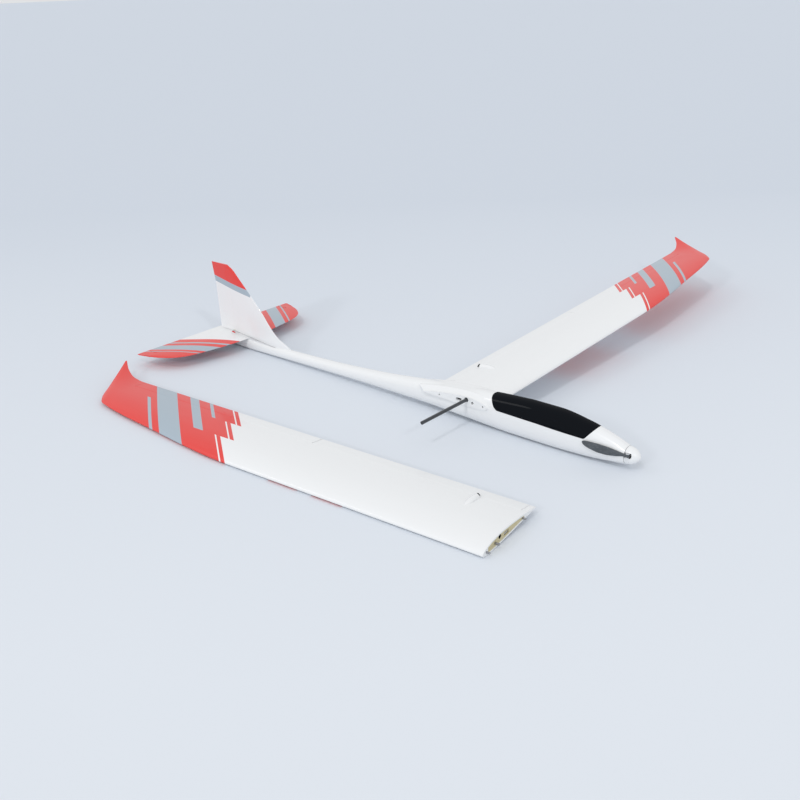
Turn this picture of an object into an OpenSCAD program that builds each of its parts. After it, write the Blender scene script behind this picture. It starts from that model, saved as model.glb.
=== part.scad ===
// Radio-controlled electric sailplane, as set out on the field: the left wing
// panel is plugged on, the right one lies on the ground beside the fuselage.
// X points to the nose, Y to the left wing tip, Z up. The ground is Z = 0 and
// the origin is the middle of the flat rest on the belly. Lengths along the
// fuselage are stations, measured aft from the tip of the spinner.

/* [Fuselage] */
// Station of the middle of the belly rest, where the origin lies
rest_s = 259; // [250:1:268]
// Height of the pod at its fullest
pod_h = 91; // [87:0.5:95]
// Width of the pod at its fullest
pod_w = 65; // [62:0.5:68]
// Height of the tail boom's middle stretch
boom_h = 29; // [26:0.5:32]
// Width of the tail boom's middle stretch
boom_w = 30; // [27:0.5:34]
// Thickness of the moulded skin
skin_t = 1.6; // [1.2:0.1:2]
// Station where the tail boom ends
tail_s = 1306; // [1302:1:1310]

/* [Nose and propeller] */
// Height of the motor axis over the ground
axis_z = 32; // [31:0.5:34]
// Diameter of the spinner at its back
spinner_d = 39; // [38:0.5:40]
// Length of the spinner
spinner_l = 28; // [26:0.5:28.5]
// Running gap between spinner and nose ring
spinner_gap = 1; // [0.6:0.1:1.6]
// Diameter of the motor shaft
shaft_d = 4; // [3:0.1:5]
// Diameter of the motor bell
bell_d = 28.4; // [27:0.2:29]
// Length of the motor bell
bell_l = 25; // [20:0.5:26]
// Thickness of the firewall
firewall_t = 3; // [2:0.2:4]
// Distance between the two blade pins
yoke_span = 42; // [41:0.5:43]
// Diameter of a blade pin
blade_pin_d = 3; // [2.5:0.1:3.2]
// Length of a blade from its pin to its tip
blade_l = 100; // [90:1:112]
// Greatest width of a blade
blade_w = 19; // [15:0.5:20]
// Angle at which the folded blades stand out from the shaft direction
blade_splay = 8.5; // [8:0.25:12]
// Angle by which the folded pair is turned about the shaft
prop_turn = 20; // [16:1:22]

/* [Canopy] */
// Station of the canopy's front edge at the top
canopy_front_s = 93; // [90:1:98]
// Station of the canopy's front lower corner
canopy_chin_s = 119; // [114:1:122]
// Station of the canopy's rear edge at the top
canopy_rear_s = 376; // [370:1:380]
// Height of the canopy's lower edge at the front
canopy_sill_z = 51; // [49:0.5:53]
// Thickness of the canopy
canopy_t = 1.2; // [0.8:0.1:1.6]
// Gap between the canopy and its opening
canopy_gap = 0.4; // [0.3:0.05:0.6]

/* [Wing] */
// Length of a panel from its root to the leading-edge corner of the tip
panel_l = 1148; // [1120:1:1180]
// Chord of the inner part of a panel
chord = 188; // [184:1:194]
// Thickness of the root section, as a share of its chord
root_thick = 0.115; // [0.112:0.001:0.12]
// Thickness of the tip section, as a share of its chord
tip_thick = 0.09; // [0.084:0.001:0.1]
// Camber of the section, as a share of its chord
camber = 0.025; // [0.02:0.001:0.03]
// How far the leading edge sweeps back at the tip corner
tip_sweep = 56; // [45:1:65]
// How far the raked tip reaches past the leading-edge corner
tip_rake = 122; // [110:1:130]
// How far the tip's aft point turns up
tip_rise = 18; // [10:0.5:24]
// Dihedral of a fitted panel
dihedral = 2.8; // [2.5:0.1:2.9]
// Incidence of a fitted panel
incidence = 1.5; // [1:0.1:2]
// Thickness of the plywood root rib
rib_t = 3; // [2.4:0.2:4]

/* [Wing joint] */
// Distance from the fuselage centre to the wing root
root_y = 34; // [33.5:0.25:35]
// Height of the wing joiner over the ground
joiner_z = 63; // [62.5:0.25:63.5]
// Station of the wing joiner
joiner_s = 424; // [420:1:428]
// Diameter of the carbon wing joiner
joiner_d = 8; // [7.8:0.1:8.2]
// Length of the joiner that stands out of the fuselage on each side
joiner_out = 156; // [120:1:157]
// Thickness of the wrap round the joiner's middle
wrap_t = 0.6; // [0.4:0.1:0.8]
// Wall of the sleeves that hold the joiner
sleeve_t = 0.45; // [0.4:0.05:0.5]
// Radial running clearance of the joiner in a sleeve
sleeve_gap = 0.05; // [0.02:0.01:0.08]
// Distance of the joiner behind the wing's leading edge
joiner_v = 59; // [57:0.5:61]
// Diameter of the locating pins in the wing root
pin_d = 4; // [3:0.1:5]
// How far a locating pin stands out of the root rib
pin_out = 7; // [5:0.5:9]
// Diameter of the threaded wing stud
stud_d = 5; // [4:0.1:6]
// How far the wing stud stands out of the root rib
stud_out = 9; // [7:0.5:12]
// Width of the servo-lead opening in the wing root
lead_w = 16; // [12:0.5:18]
// Height of the servo-lead opening in the wing root
lead_h = 7; // [6:0.5:8]

/* [Control surfaces] */
// Chord of flaps and ailerons
flap_chord = 32; // [29:0.5:34]
// Distance from the root to a flap
flap_start = 13; // [10:0.5:20]
// Distance from the root to the end of a flap
flap_end = 540; // [480:1:560]
// Gap between neighbouring control surfaces
end_gap = 1.6; // [1:0.1:3]
// Running gap round the round noses of the surfaces
nose_gap = 0.5; // [0.4:0.05:0.7]
// Distance from the root to the flap linkage
flap_horn_u = 110; // [90:1:140]
// Height of the flap horn's eye over the hinge line
flap_arm = 9; // [8.5:0.25:9.5]
// Length of the teardrop fairing over the flap linkage
fairing_l = 44; // [40:1:50]
// Width of the fairing
fairing_w = 14; // [13:0.5:16]
// Height of the fairing over the wing skin
fairing_h = 7.5; // [7:0.25:9]
// Distance from the root to the aileron servo
servo_u = 800; // [760:1:840]
// Depth of the aileron horn's eye under the hinge line
aileron_arm = 14.4; // [13.4:0.2:15]
// Length of the aileron servo's arm
wing_servo_arm = 8.5; // [8:0.25:9]
// Thickness of the horns
horn_t = 1.6; // [1.2:0.1:2]

/* [Tail] */
// Height of the fin top over the ground
fin_top_z = 232; // [228:1:238]
// Half thickness of the fin at the stabilizer
fin_half = 8.5; // [8:0.25:9.5]
// Half span of the stabilizer
stab_half = 271; // [264:1:280]
// Chord of the stabilizer at its root
stab_chord = 151; // [148:1:154]
// Station of the stabilizer's leading edge at the root
stab_s = 1214; // [1211:1:1217]
// Height of the stabilizer's middle plane
stab_z = 33; // [32.5:0.25:33.5]
// Thickness of the stabilizer at its root
stab_t = 9; // [8.4:0.1:9.6]
// Chord of the elevator
elevator_chord = 38; // [35:0.5:41]
// Width of each stabilizer tip outboard of the elevator
stab_tip = 35; // [30:1:46]
// Diameter of the hinge wires in the tail
hinge_wire_d = 1.5; // [1.2:0.1:1.8]

/* [Equipment] */
// Height of the top of the equipment tray
tray_z = 30; // [29:0.5:31]
// Thickness of the equipment tray
tray_t = 3; // [2:0.2:3.4]
// Length of the flight battery
battery_l = 105; // [95:1:108]
// Width of the flight battery
battery_w = 34; // [30:0.5:35]
// Height of the flight battery
battery_h = 22; // [19:0.5:23]
// Diameter of the pushrod wires
rod_d = 1.8; // [1.5:0.1:2]
// Length of the tail servo arms
tail_servo_arm = 11; // [10:0.25:12]

/* [Panel on the ground] */
// Distance of the loose panel's root leading edge ahead of the origin
loose_x = 202; // [180:1:225]
// Distance of the loose panel's root leading edge right of the fuselage
loose_y = 459; // [440:1:480]
// Angle between the loose panel and the fuselage
loose_turn = 4.3; // [2:0.1:6]
// Tilt of the loose panel, which leans on its aileron horn
loose_tilt = 3.3; // [3:0.1:3.6]

/* [Hidden] */

black = [0.06, 0.07, 0.09];
carbon = [0.2, 0.21, 0.22];

eps = 0.01;
// Clearance of a pin in its hole, and of a part against its seat
pin_gap = 0.1;
seat_gap = 0.2;

// ---------------------------------------------------------------- curves
// Rows are [place, value, value ...]; curve() runs smoothly through one column.
function row_at(rows, x, i = 0) =
    (i >= len(rows) - 2 || x <= rows[i + 1][0]) ? i : row_at(rows, x, i + 1);
function rise(rows, c, i) =
    (rows[i + 1][c] - rows[i][c]) / (rows[i + 1][0] - rows[i][0]);
function slope(rows, c, i) =
    i == 0 ? rise(rows, c, 0)
    : i == len(rows) - 1 ? rise(rows, c, i - 1)
    : let (a = rise(rows, c, i - 1), b = rise(rows, c, i))
      a * b <= 0 ? 0 : 2 * a * b / (a + b);
function curve(rows, c, x) =
    let (i = row_at(rows, x),
         h = rows[i + 1][0] - rows[i][0],
         t = min(max((x - rows[i][0]) / h, 0), 1),
         a = rows[i][c],
         b = rows[i + 1][c])
    a * (1 + 2 * t) * pow(1 - t, 2) + b * t * t * (3 - 2 * t)
    + h * (slope(rows, c, i) * t * pow(1 - t, 2) - slope(rows, c, i + 1) * t * t * (1 - t));

// A closed skin over rings of equal point counts. Each ring runs clockwise as
// seen from the end that the rings start at, looking towards the other end.
module loft(rings) {
    n = len(rings[0]);
    last = len(rings) - 1;
    points = [for (ring = rings) each ring];
    sides = [for (i = [0:last - 1]) for (k = [0:n - 1])
        [i * n + k, (i + 1) * n + k, (i + 1) * n + (k + 1) % n, i * n + (k + 1) % n]];
    first_cap = [for (k = [0:n - 1]) k];
    last_cap = [for (k = [n - 1:-1:0]) last * n + k];
    polyhedron(points, concat([first_cap], sides, [last_cap]), convexity = 8);
}

// A straight rod between two points.
module rod(a, b, d, fn = 24) {
    v = b - a;
    l = norm(v);
    translate(a)
        rotate([0, acos(v[2] / l), atan2(v[1], v[0])])
            cylinder(d = d, h = l, $fn = fn);
}

// ---------------------------------------------------------------- sections
// Half thickness and camber line of a section at share q of its chord.
function half_thick(q, t) =
    5 * t * (0.2969 * sqrt(q) - 0.126 * q - 0.3516 * q * q + 0.2843 * pow(q, 3) - 0.1036 * pow(q, 4));
crest = 0.4;
function camber_line(q, m) =
    q < crest ? m / pow(crest, 2) * (2 * crest * q - q * q)
    : m / pow(1 - crest, 2) * (1 - 2 * crest + 2 * crest * q - q * q);
edge_half = 0.4;
function upper(q, c, t, m) = c * (camber_line(q, m) + half_thick(q, t)) + edge_half * q;
function lower(q, c, t, m) = c * (camber_line(q, m) - half_thick(q, t)) - edge_half * q;
function cosine_steps(n) = [for (i = [0:n]) (1 - cos(180 * i / n)) / 2];
// Shares from 0 to 1, close together at the round nose only.
function nose_steps(n) = [for (i = [0:n]) 1 - cos(90 * i / n)];

// ---------------------------------------------------------------- fuselage
function sx(s) = rest_s - s;
nose_s = spinner_l + spinner_gap;
boom_mid_z = 21.5;
// station, top, bottom, half width
hull_rows = [
    [nose_s, axis_z + spinner_d / 2, axis_z - spinner_d / 2, spinner_d / 2],
    [60, 64, 8, 21.8],
    [124, pod_h - 10.5, 2.4, pod_w / 2 - 4],
    [200, pod_h - 0.5, 0, pod_w / 2 - 0.5],
    [rest_s, pod_h - 0.6, 0, pod_w / 2],
    [318, pod_h - 3.5, 0.3, pod_w / 2],
    [424, pod_h - 12, 4.6, pod_w / 2 - 1.5],
    [574, pod_h - 26.5, 9.4, pod_w / 2 - 8],
    [724, 48.5, 9.4, boom_w / 2 + 4],
    [924, boom_mid_z + boom_h / 2, boom_mid_z - boom_h / 2, boom_w / 2],
    [1124, 31, 2.6, boom_w / 2 - 2.5],
    [1230, stab_z, 0.2, boom_w / 2 - 3.5],
    [tail_s, stab_z - 1.5, 3, boom_w / 2 - 7]];
function hull_top(s) = curve(hull_rows, 1, s);
function hull_low(s) = curve(hull_rows, 2, s);
function hull_half(s) = curve(hull_rows, 3, s);
squareness = 2.25;
function arc_power(v) = sign(v) * pow(abs(v), 2 / squareness);
ring_n = 28;
facet_grow = 1 / arc_power(cos(180 / ring_n));
// One cross-section, taken in by an inset; its lowest facet is level.
function hull_ring(s, inset) =
    let (b = (hull_top(s) - hull_low(s)) / 2,
         zc = hull_low(s) + b)
    [for (i = [0:ring_n - 1])
        let (t = (i + 0.5) * 360 / ring_n)
        [sx(s), -(hull_half(s) - inset) * arc_power(cos(t)),
         zc + (b - inset) * facet_grow * arc_power(sin(t))]];
cavity_front = 48;
cavity_rear = 1150;
inner_s = [cavity_front, 62, 84, 124, 180, rest_s, 340, 424, 500, 574, 650, 724, 820, 924,
    1040, cavity_rear];
outer_s = [nose_s, 34, 41, 50, 62, 78, 98, 124, 150, 180, rest_s - 30, rest_s + 30, 320,
    356, 390, 424, 460, 500, 545, 590, 640, 690, 740, 800, 870, 950, 1040, 1124, 1180,
    1230, 1270, tail_s];
// Half width of the cavity at a height, less a seat's gap.
function cavity_half(s, z) =
    let (b = (hull_top(s) - hull_low(s)) / 2 - skin_t,
         zc = (hull_top(s) + hull_low(s)) / 2,
         r = min(abs(z - zc) / b, 1))
    (hull_half(s) - skin_t) * pow(1 - pow(r, squareness), 1 / squareness) * 0.99 - seat_gap;

module hull_outside() {
    loft([for (s = outer_s) hull_ring(s, 0)]);
}

module hull_inside(inset) {
    loft([for (s = inner_s) hull_ring(s, inset)]);
}

// Side view of the canopy opening, drawn in by a gap. The rear heel is round.
canopy_heel_s = 342;
canopy_heel_z = canopy_sill_z + 6;
module canopy_outline(gap) {
    offset(delta = -gap)
        offset(r = 9, $fn = 40)
            offset(delta = -9)
                polygon([[sx(canopy_chin_s), canopy_sill_z],
                    [sx(235), canopy_heel_z - 1.5],
                    [sx(canopy_heel_s), canopy_heel_z],
                    [sx(canopy_heel_s + 9), canopy_heel_z + 6],
                    [sx(canopy_rear_s + 12), pod_h + 18],
                    [sx(canopy_front_s - 22), pod_h + 18]]);
}

module canopy_prism(gap) {
    translate([0, pod_w, 0])
        rotate([90, 0, 0])
            linear_extrude(2 * pod_w)
                canopy_outline(gap);
}

// ---------------------------------------------------------------- wing panel
// Panel frame: X forward from the leading edge, Y outboard from the root, Z up
// from the chord line.
tip_u = panel_l + tip_rake;
lead_rows = [[0, 0], [panel_l * 0.57, 0], [panel_l * 0.82, tip_sweep * 0.47],
    [panel_l, tip_sweep], [panel_l + tip_rake * 0.2, tip_sweep + 18],
    [panel_l + tip_rake * 0.43, tip_sweep + 60], [tip_u, chord + 42]];
trail_rows = [[0, chord], [panel_l, chord + 1], [panel_l + tip_rake * 0.32, chord + 4],
    [panel_l + tip_rake * 0.67, chord + 20], [tip_u, chord + 47]];
thick_rows = [[0, root_thick], [panel_l * 0.57, root_thick * 0.96], [panel_l, tip_thick],
    [tip_u, tip_thick * 0.8]];
aileron_end = panel_l - 5;
lift_from = aileron_end;
function lead(u) = curve(lead_rows, 1, u);
function trail(u) = curve(trail_rows, 1, u);
function thick(u) = curve(thick_rows, 1, u);
function tip_lift(u) =
    u < lift_from ? 0 : tip_rise * pow((u - lift_from) / (tip_u - lift_from), 2);
function share(u, v) = min(max((v - lead(u)) / (trail(u) - lead(u)), 0), 1);
function wing_top(u, v) =
    tip_lift(u) + upper(share(u, v), trail(u) - lead(u), thick(u), camber);
function wing_low(u, v) =
    tip_lift(u) + lower(share(u, v), trail(u) - lead(u), thick(u), camber);
function wing_mid(u, v) = (wing_top(u, v) + wing_low(u, v)) / 2;
function wing_half(u, v) = (wing_top(u, v) - wing_low(u, v)) / 2;

chord_steps = 11;
// Ring round a whole section, trailing edge first, over the top to the nose.
function wing_ring(u) =
    let (v = [for (q = cosine_steps(chord_steps)) lead(u) + (trail(u) - lead(u)) * q])
    concat([for (i = [chord_steps:-1:0]) [-v[i], u, wing_top(u, v[i])]],
        [for (i = [1:chord_steps]) [-v[i], u, wing_low(u, v[i])]]);

hinge_v = chord - flap_chord;
panel_steps = [rib_t, 130, 300, 460, 580, panel_l * 0.57, panel_l * 0.65, panel_l * 0.73,
    panel_l * 0.82, panel_l * 0.91, lift_from, panel_l, panel_l + tip_rake * 0.12,
    panel_l + tip_rake * 0.26, panel_l + tip_rake * 0.43, panel_l + tip_rake * 0.62,
    panel_l + tip_rake * 0.8, panel_l + tip_rake * 0.92, tip_u - 1];

// The hinge line runs straight from one end of a surface to the other.
function hinge_point(u) = [-hinge_v, u, wing_mid(u, hinge_v)];
function nose_r(u) = wing_half(u, hinge_v) - 0.15;
module surface_nose(u0, u1, grow) {
    a = hinge_point(u0);
    v = hinge_point(u1) - a;
    translate(a)
        rotate([-90 + atan2(v[2], v[1]), 0, 0])
            cylinder(r1 = nose_r(u0) + grow, r2 = nose_r(u1) + grow, h = norm(v), $fn = 40);
}

// The hollow that the nose turns in, which follows the section along the span.
cove_n = 20;
cove_steps = 3;
function cove_ring(u) =
    let (c = hinge_point(u), r = (nose_r(u) + nose_gap) / cos(180 / cove_n))
    [for (i = [0:cove_n - 1])
        let (t = -(i + 0.5) * 360 / cove_n)
        [c[0] + r * cos(t), u, c[2] + r * sin(t)]];
module cove(u0, u1) {
    loft([for (i = [0:cove_steps]) cove_ring(u0 + (u1 - u0) * i / cove_steps)]);
}

// What slides sideways into the fuselage runs level in flight, so its axis is
// turned back by the dihedral and the incidence in the panel's own frame.
joiner_rise = 8.3;
joiner_root = [-joiner_v, 0, joiner_rise];
function turned(p) =
    let (x = p[0] * cos(incidence) - p[2] * sin(incidence),
         z = p[0] * sin(incidence) + p[2] * cos(incidence))
    [x, p[1] * cos(dihedral) - z * sin(dihedral), p[1] * sin(dihedral) + z * cos(dihedral)];
wing_place = [sx(joiner_s) - turned(joiner_root)[0], root_y, joiner_z - turned(joiner_root)[2]];
module level_from(p) {
    translate(p)
        rotate([0, incidence, 0])
            rotate([-90 - dihedral, 0, 0])
                children();
}
module fitted_left() {
    translate(wing_place)
        rotate([dihedral, 0, 0])
            rotate([0, -incidence, 0])
                children();
}

sleeve_r = joiner_d / 2 + sleeve_gap + sleeve_t;
socket_l = joiner_out + 2;
front_pin_v = 13;
stud_v = 42;
lead_v = 81;
rear_pin_v = 138;
function root_mid(v) = [-v, 0, wing_mid(0, v)];
module root_holes(from, depth, pin_grow, stud_grow) {
    for (v = [front_pin_v, rear_pin_v])
        level_from(root_mid(v))
            translate([0, 0, from])
                cylinder(d = pin_d + 2 * pin_grow, h = depth, $fn = 32);
    level_from(root_mid(stud_v))
        translate([0, 0, from])
            cylinder(d = stud_d + 2 * stud_grow, h = depth, $fn = 32);
}
module lead_hole(from, depth) {
    level_from([-lead_v, 0, wing_mid(0, lead_v)])
        translate([-lead_w / 2, -lead_h / 2, from])
            cube([lead_w, lead_h, depth]);
}

servo_l = 46;
servo_w = 30;
cover_t = 1.2;
servo_v = 70;
servo_deep = 10;
arm_u = servo_u + servo_l / 2;
arm_hub_v = servo_v + 15;
arm_slot_w = horn_t + 2.4;
slot_ahead = 12;
flap_undercut = 7.5;
aileron_undercut = 2.6;
pocket_gap = 0.2;
function cover_z() = wing_low(servo_u + servo_l, servo_v + servo_w);

// Room under a nose between two stations, so that the surface can droop.
module under_nose(u0, u1, ahead) {
    loft([for (u = [u0, u1])
        let (x = hinge_point(u)[0], z = hinge_point(u)[2])
        [[x + ahead, u, z], [x + ahead, u, z - 20], [x - eps, u, z - 20], [x - eps, u, z]]]);
}

module wing_panel() {
    difference() {
        loft([for (u = panel_steps) wing_ring(u)]);
        translate([-chord - 60, flap_start, -40])
            cube([60 + flap_chord, aileron_end - flap_start, 80]);
        cove(flap_start, flap_end + end_gap / 2);
        cove(flap_end + end_gap / 2, aileron_end);
        under_nose(flap_start, flap_end, flap_undercut);
        under_nose(flap_end + end_gap / 2, aileron_end, aileron_undercut);
        // slots that the horns swing in
        translate([-hinge_v - eps, flap_horn_u - arm_slot_w / 2, wing_mid(0, hinge_v)])
            cube([slot_ahead, arm_slot_w, 30]);
        translate([-hinge_v - eps, arm_u - arm_slot_w / 2, wing_mid(arm_u, hinge_v) - 30])
            cube([slot_ahead, arm_slot_w, 30]);
        // well under the fairing for the flap servo's linkage
        translate([-hinge_v + 2, flap_horn_u - 4.5, wing_mid(0, hinge_v) + 3])
            cube([34, 9, 30]);
        level_from(joiner_root)
            translate([0, 0, -1])
                cylinder(r = sleeve_r + pin_gap, h = socket_l + 2, $fn = 64);
        root_holes(-1, 25, pin_gap, pin_gap);
        lead_hole(-1, 40);
        translate([-servo_v - servo_w - pocket_gap, servo_u - pocket_gap, -30])
            cube([servo_w + 2 * pocket_gap, servo_l + 2 * pocket_gap,
                30 + cover_z() + servo_deep]);
    }
}

module root_rib() {
    difference() {
        loft([wing_ring(0), wing_ring(rib_t)]);
        level_from(joiner_root)
            translate([0, 0, -5])
                cylinder(r = sleeve_r + pin_gap, h = 15, $fn = 64);
        root_holes(-5, 15, pin_gap, pin_gap);
        lead_hole(-5, 15);
    }
}

// The sleeve is blind at its far end, and its mouth is trimmed on the slant of the root
// rib, inside the rib's face and clear of the joiner's wrap.
end_room = 0.7;
mouth_in = 0.9;
trim = 40;
module joiner_socket() {
    difference() {
        level_from(joiner_root)
            difference() {
                translate([0, 0, -1])
                    cylinder(r = sleeve_r, h = socket_l + 1, $fn = 64);
                translate([0, 0, -2])
                    cylinder(r = joiner_d / 2 + sleeve_gap, h = joiner_out + end_room + 2, $fn = 64);
            }
        translate([-joiner_v - trim / 2, mouth_in - trim, joiner_rise - trim / 2])
            cube(trim);
    }
}

// Two locating dowels and the threaded stud.
module root_pins() {
    for (v = [front_pin_v, rear_pin_v])
        level_from(root_mid(v)) {
            translate([0, 0, -pin_out])
                cylinder(d = pin_d, h = pin_out + 20, $fn = 32);
            translate([0, 0, -pin_out - 1])
                cylinder(d1 = pin_d - 1.6, d2 = pin_d, h = 1, $fn = 32);
        }
    level_from(root_mid(stud_v))
        translate([0, 0, -stud_out])
            cylinder(d = stud_d, h = stud_out + 20, $fn = 32);
}

// Aft part of the wing section with a round nose.
function aft_ring(u) =
    let (v = [for (q = [0, 0.35, 0.7, 1]) hinge_v + (trail(u) - hinge_v) * q])
    concat([for (i = [3:-1:0]) [-v[i], u, wing_top(u, v[i])]],
        [for (i = [0:3]) [-v[i], u, wing_low(u, v[i])]]);
module moving_part(u0, u1, steps) {
    loft([for (i = [0:steps]) aft_ring(u0 + (u1 - u0) * i / steps)]);
    surface_nose(u0, u1, 0);
}

eye_r = 2.2;
eye_hole = 1.3;
// Horn plate in the X-Z plane about the hinge, with an eye at (0, reach).
module horn(reach) {
    rotate([90, 0, 0])
        translate([0, 0, -horn_t / 2])
            linear_extrude(horn_t)
                difference() {
                    hull() {
                        translate([-4, sign(reach)])
                            square([8, 1], center = true);
                        translate([0, reach])
                            circle(r = eye_r, $fn = 32);
                    }
                    translate([0, reach])
                        circle(d = eye_hole, $fn = 24);
                }
}

module wing_flap() {
    moving_part(flap_start + end_gap / 2, flap_end, 4);
    translate(hinge_point(flap_horn_u))
        horn(flap_arm);
}

module wing_aileron() {
    moving_part(flap_end + end_gap, aileron_end - end_gap / 2, 8);
    translate(hinge_point(arm_u))
        horn(-aileron_arm);
}

// Teardrop cover over the flap linkage, open at the rear.
fairing_t = 0.9;
fairing_end_v = hinge_v - 4;
module fairing_form(inset) {
    back = fairing_end_v;
    front = back - fairing_l + 3;
    crest = front + fairing_l * 0.35;
    hull() {
        translate([-front, flap_horn_u, wing_top(flap_horn_u, front)])
            sphere(r = 3 - inset, $fn = 20);
        translate([-crest, flap_horn_u, wing_top(flap_horn_u, crest)])
            scale([1, 1, 0.8])
                sphere(r = fairing_w * 0.42 - inset, $fn = 24);
        translate([-back - (inset > 0 ? 3 : 0), flap_horn_u, wing_top(flap_horn_u, back)])
            rotate([0, 90, 0])
                scale([1, fairing_w / 2 / fairing_h, 1])
                    cylinder(r = fairing_h - inset, h = 8, $fn = 32);
    }
}
module flap_fairing() {
    difference() {
        fairing_form(0);
        fairing_form(fairing_t);
        loft([for (u = [flap_horn_u - 12, flap_horn_u + 12])
            [for (p = wing_ring(u)) [p[0], p[1], p[2] + 0.02]]]);
        translate([-fairing_end_v - 2, flap_horn_u - 15, -30])
            cube([60, 30, 30 + wing_low(flap_horn_u, fairing_end_v - 20) + 4]);
    }
}

// A keeper eye beside the horn, and the wire that runs forward from it.
clevis_t = 1.2;
clevis_gap = 0.4;
module clevis(eye, far) {
    side = [0, horn_t / 2 + clevis_gap, 0];
    translate(eye + side)
        rotate([-90, 0, 0])
            cylinder(r = eye_r, h = clevis_t, $fn = 24);
    middle = [0, clevis_t / 2, 0];
    rod(eye + side + middle, far + side + middle, clevis_t - 0.2, 16);
}

module flap_pushrod() {
    eye = hinge_point(flap_horn_u) + [0, 0, flap_arm];
    clevis(eye, eye + [30, 0, 0.2]);
}

// Eye of the aileron servo's arm under the wing.
function arm_hub() = [-arm_hub_v, arm_u, cover_z() + cover_t + 3.6];
function arm_eye() = arm_hub() - [0, 0, wing_servo_arm];

module aileron_servo() {
    translate([-servo_v - servo_w, servo_u, cover_z()])
        difference() {
            union() {
                cube([servo_w, servo_l, cover_t]);
                // servo case on the inner side of the cover
                translate([3.5, 6, cover_t])
                    cube([23, 12, servo_deep - cover_t - pocket_gap]);
                translate([servo_w - 15, 18, cover_t + 3.6])
                    rotate([-90, 0, 0])
                        cylinder(d = 4, h = 5, $fn = 24);
            }
            translate([2, servo_l / 2 - 2, -1])
                cube([24, 6, cover_t + 2]);
        }
}

module aileron_servo_arm() {
    translate(arm_hub())
        rotate([90, 0, 0])
            translate([0, 0, -horn_t / 2])
                linear_extrude(horn_t)
                    difference() {
                        hull() {
                            circle(r = 3, $fn = 32);
                            translate([0, -wing_servo_arm])
                                circle(r = 1.7, $fn = 32);
                        }
                        circle(d = 4 + 2 * pin_gap, $fn = 32);
                        translate([0, -wing_servo_arm])
                            circle(d = 1, $fn = 24);
                    }
}

module aileron_pushrod() {
    eye = hinge_point(arm_u) - [0, 0, aileron_arm];
    clevis(eye, arm_eye());
    translate(arm_eye() + [0, horn_t / 2 + clevis_gap, 0])
        rotate([-90, 0, 0])
            cylinder(r = 1.7, h = clevis_t, $fn = 24);
}

// The loose panel stands on its skin behind the leading edge, and on what
// hangs lowest further aft.
function laid_z(p) = p[2] * cos(loose_tilt) - p[0] * sin(loose_tilt);
lowest = min([for (v = [0:4:60]) laid_z([-v, 0, wing_low(0, v)])]);
horn_low = laid_z(hinge_point(arm_u) - [0, 0, aileron_arm + eye_r]);
arm_low = laid_z(arm_eye() - [0, 0, eye_r]);
loose_lift = 0.1 - min(lowest, horn_low, arm_low);
module laid_right() {
    translate([loose_x, -loose_y, loose_lift])
        rotate([0, 0, loose_turn - 90])
            rotate([0, loose_tilt, 0])
                mirror([0, 1, 0])
                    children();
}

// ---------------------------------------------------------------- wing saddle
// Ring of the root section, spread by a flare and drawn in towards the centre.
function saddle_ring(inward, flare, side) =
    [for (p = wing_ring(0))
        let (q = -p[0] / chord,
             m = wing_mid(0, -p[0]),
             d = p[2] - m,
             w = fitted([p[0] + flare * (1 - 2.6 * q), p[1], p[2] + 0.6 * flare * (q < eps ? 0 : sign(d))]))
        [w[0], side * (w[1] - inward), w[2]]];
function fitted(p) = wing_place + turned(p);
flares = [[0, 0], [2.5, 0.8], [5.5, 3], [8.5, 7], [14, 14]];
module saddle() {
    loft(concat(
        [for (i = [0:len(flares) - 1]) saddle_ring(flares[i][0], flares[i][1], -1)],
        [for (i = [len(flares) - 1:-1:0]) saddle_ring(flares[i][0], flares[i][1], 1)]));
}
module both_sides() {
    children();
    mirror([0, 1, 0])
        children();
}

// ---------------------------------------------------------------- tail
tail_edge = 0.5;
// Half thickness of a tail surface at a share of its fixed part and of its
// moving part, from the half thickness at the hinge and the bulge ahead of it.
function fixed_half(q, h, bulge) = h * sqrt(max(q * (2 - q), 0)) + bulge * sin(180 * q);
function moving_half(q, h) = h + (tail_edge - h) * q;

rudder_low_z = 42.5;
fin_lead_rows = [[12, 1036], [31, 1046], [39, 1058], [56, 1096], [79, 1123], [118, 1156],
    [166, 1204], [200, 1240], [222, 1264], [fin_top_z, 1284]];
fin_trail_rows = [[12, 1336], [rudder_low_z, 1338], [178, 1343], [195, 1345.5],
    [fin_top_z, 1351.5]];
fin_bulge_rows = [[12, fin_half - 4], [38, fin_half - 4.2], [62, 2.4], [118, 1.5],
    [fin_top_z, 0.2]];
post_tilt = 6.36;
post_s = 1271.5;
post_z = 50;
function post(z) = post_s + (z - post_z) * tan(post_tilt);
function post_half(z) = 4 - 1.2 * (z - rudder_low_z) / (fin_top_z - rudder_low_z);
function fin_ring(z) =
    let (a = curve(fin_lead_rows, 1, z),
         b = curve(fin_bulge_rows, 1, z),
         q = nose_steps(7),
         row = [for (i = q) [sx(a + (post(z) - a) * i), fixed_half(i, post_half(z), b)]])
    concat([for (i = [7:-1:0]) [row[i][0], -row[i][1], z]],
        [for (i = [1:7]) [row[i][0], row[i][1], z]]);
function rudder_ring(z) =
    let (c = curve(fin_trail_rows, 1, z) - post(z),
         row = [for (i = [0, 1]) [sx(post(z) + c * i), moving_half(i, post_half(z))]])
    [[row[1][0], -row[1][1], z], [row[0][0], -row[0][1], z],
        [row[0][0], row[0][1], z], [row[1][0], row[1][1], z]];
fin_z = [12, 31, 38, 46, 56, 68, 82, 100, 118, 142, 166, 184, 200, 212, 222, fin_top_z];
rudder_z = [rudder_low_z, 80, 120, 150, 178, 196, 214, fin_top_z];

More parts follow.
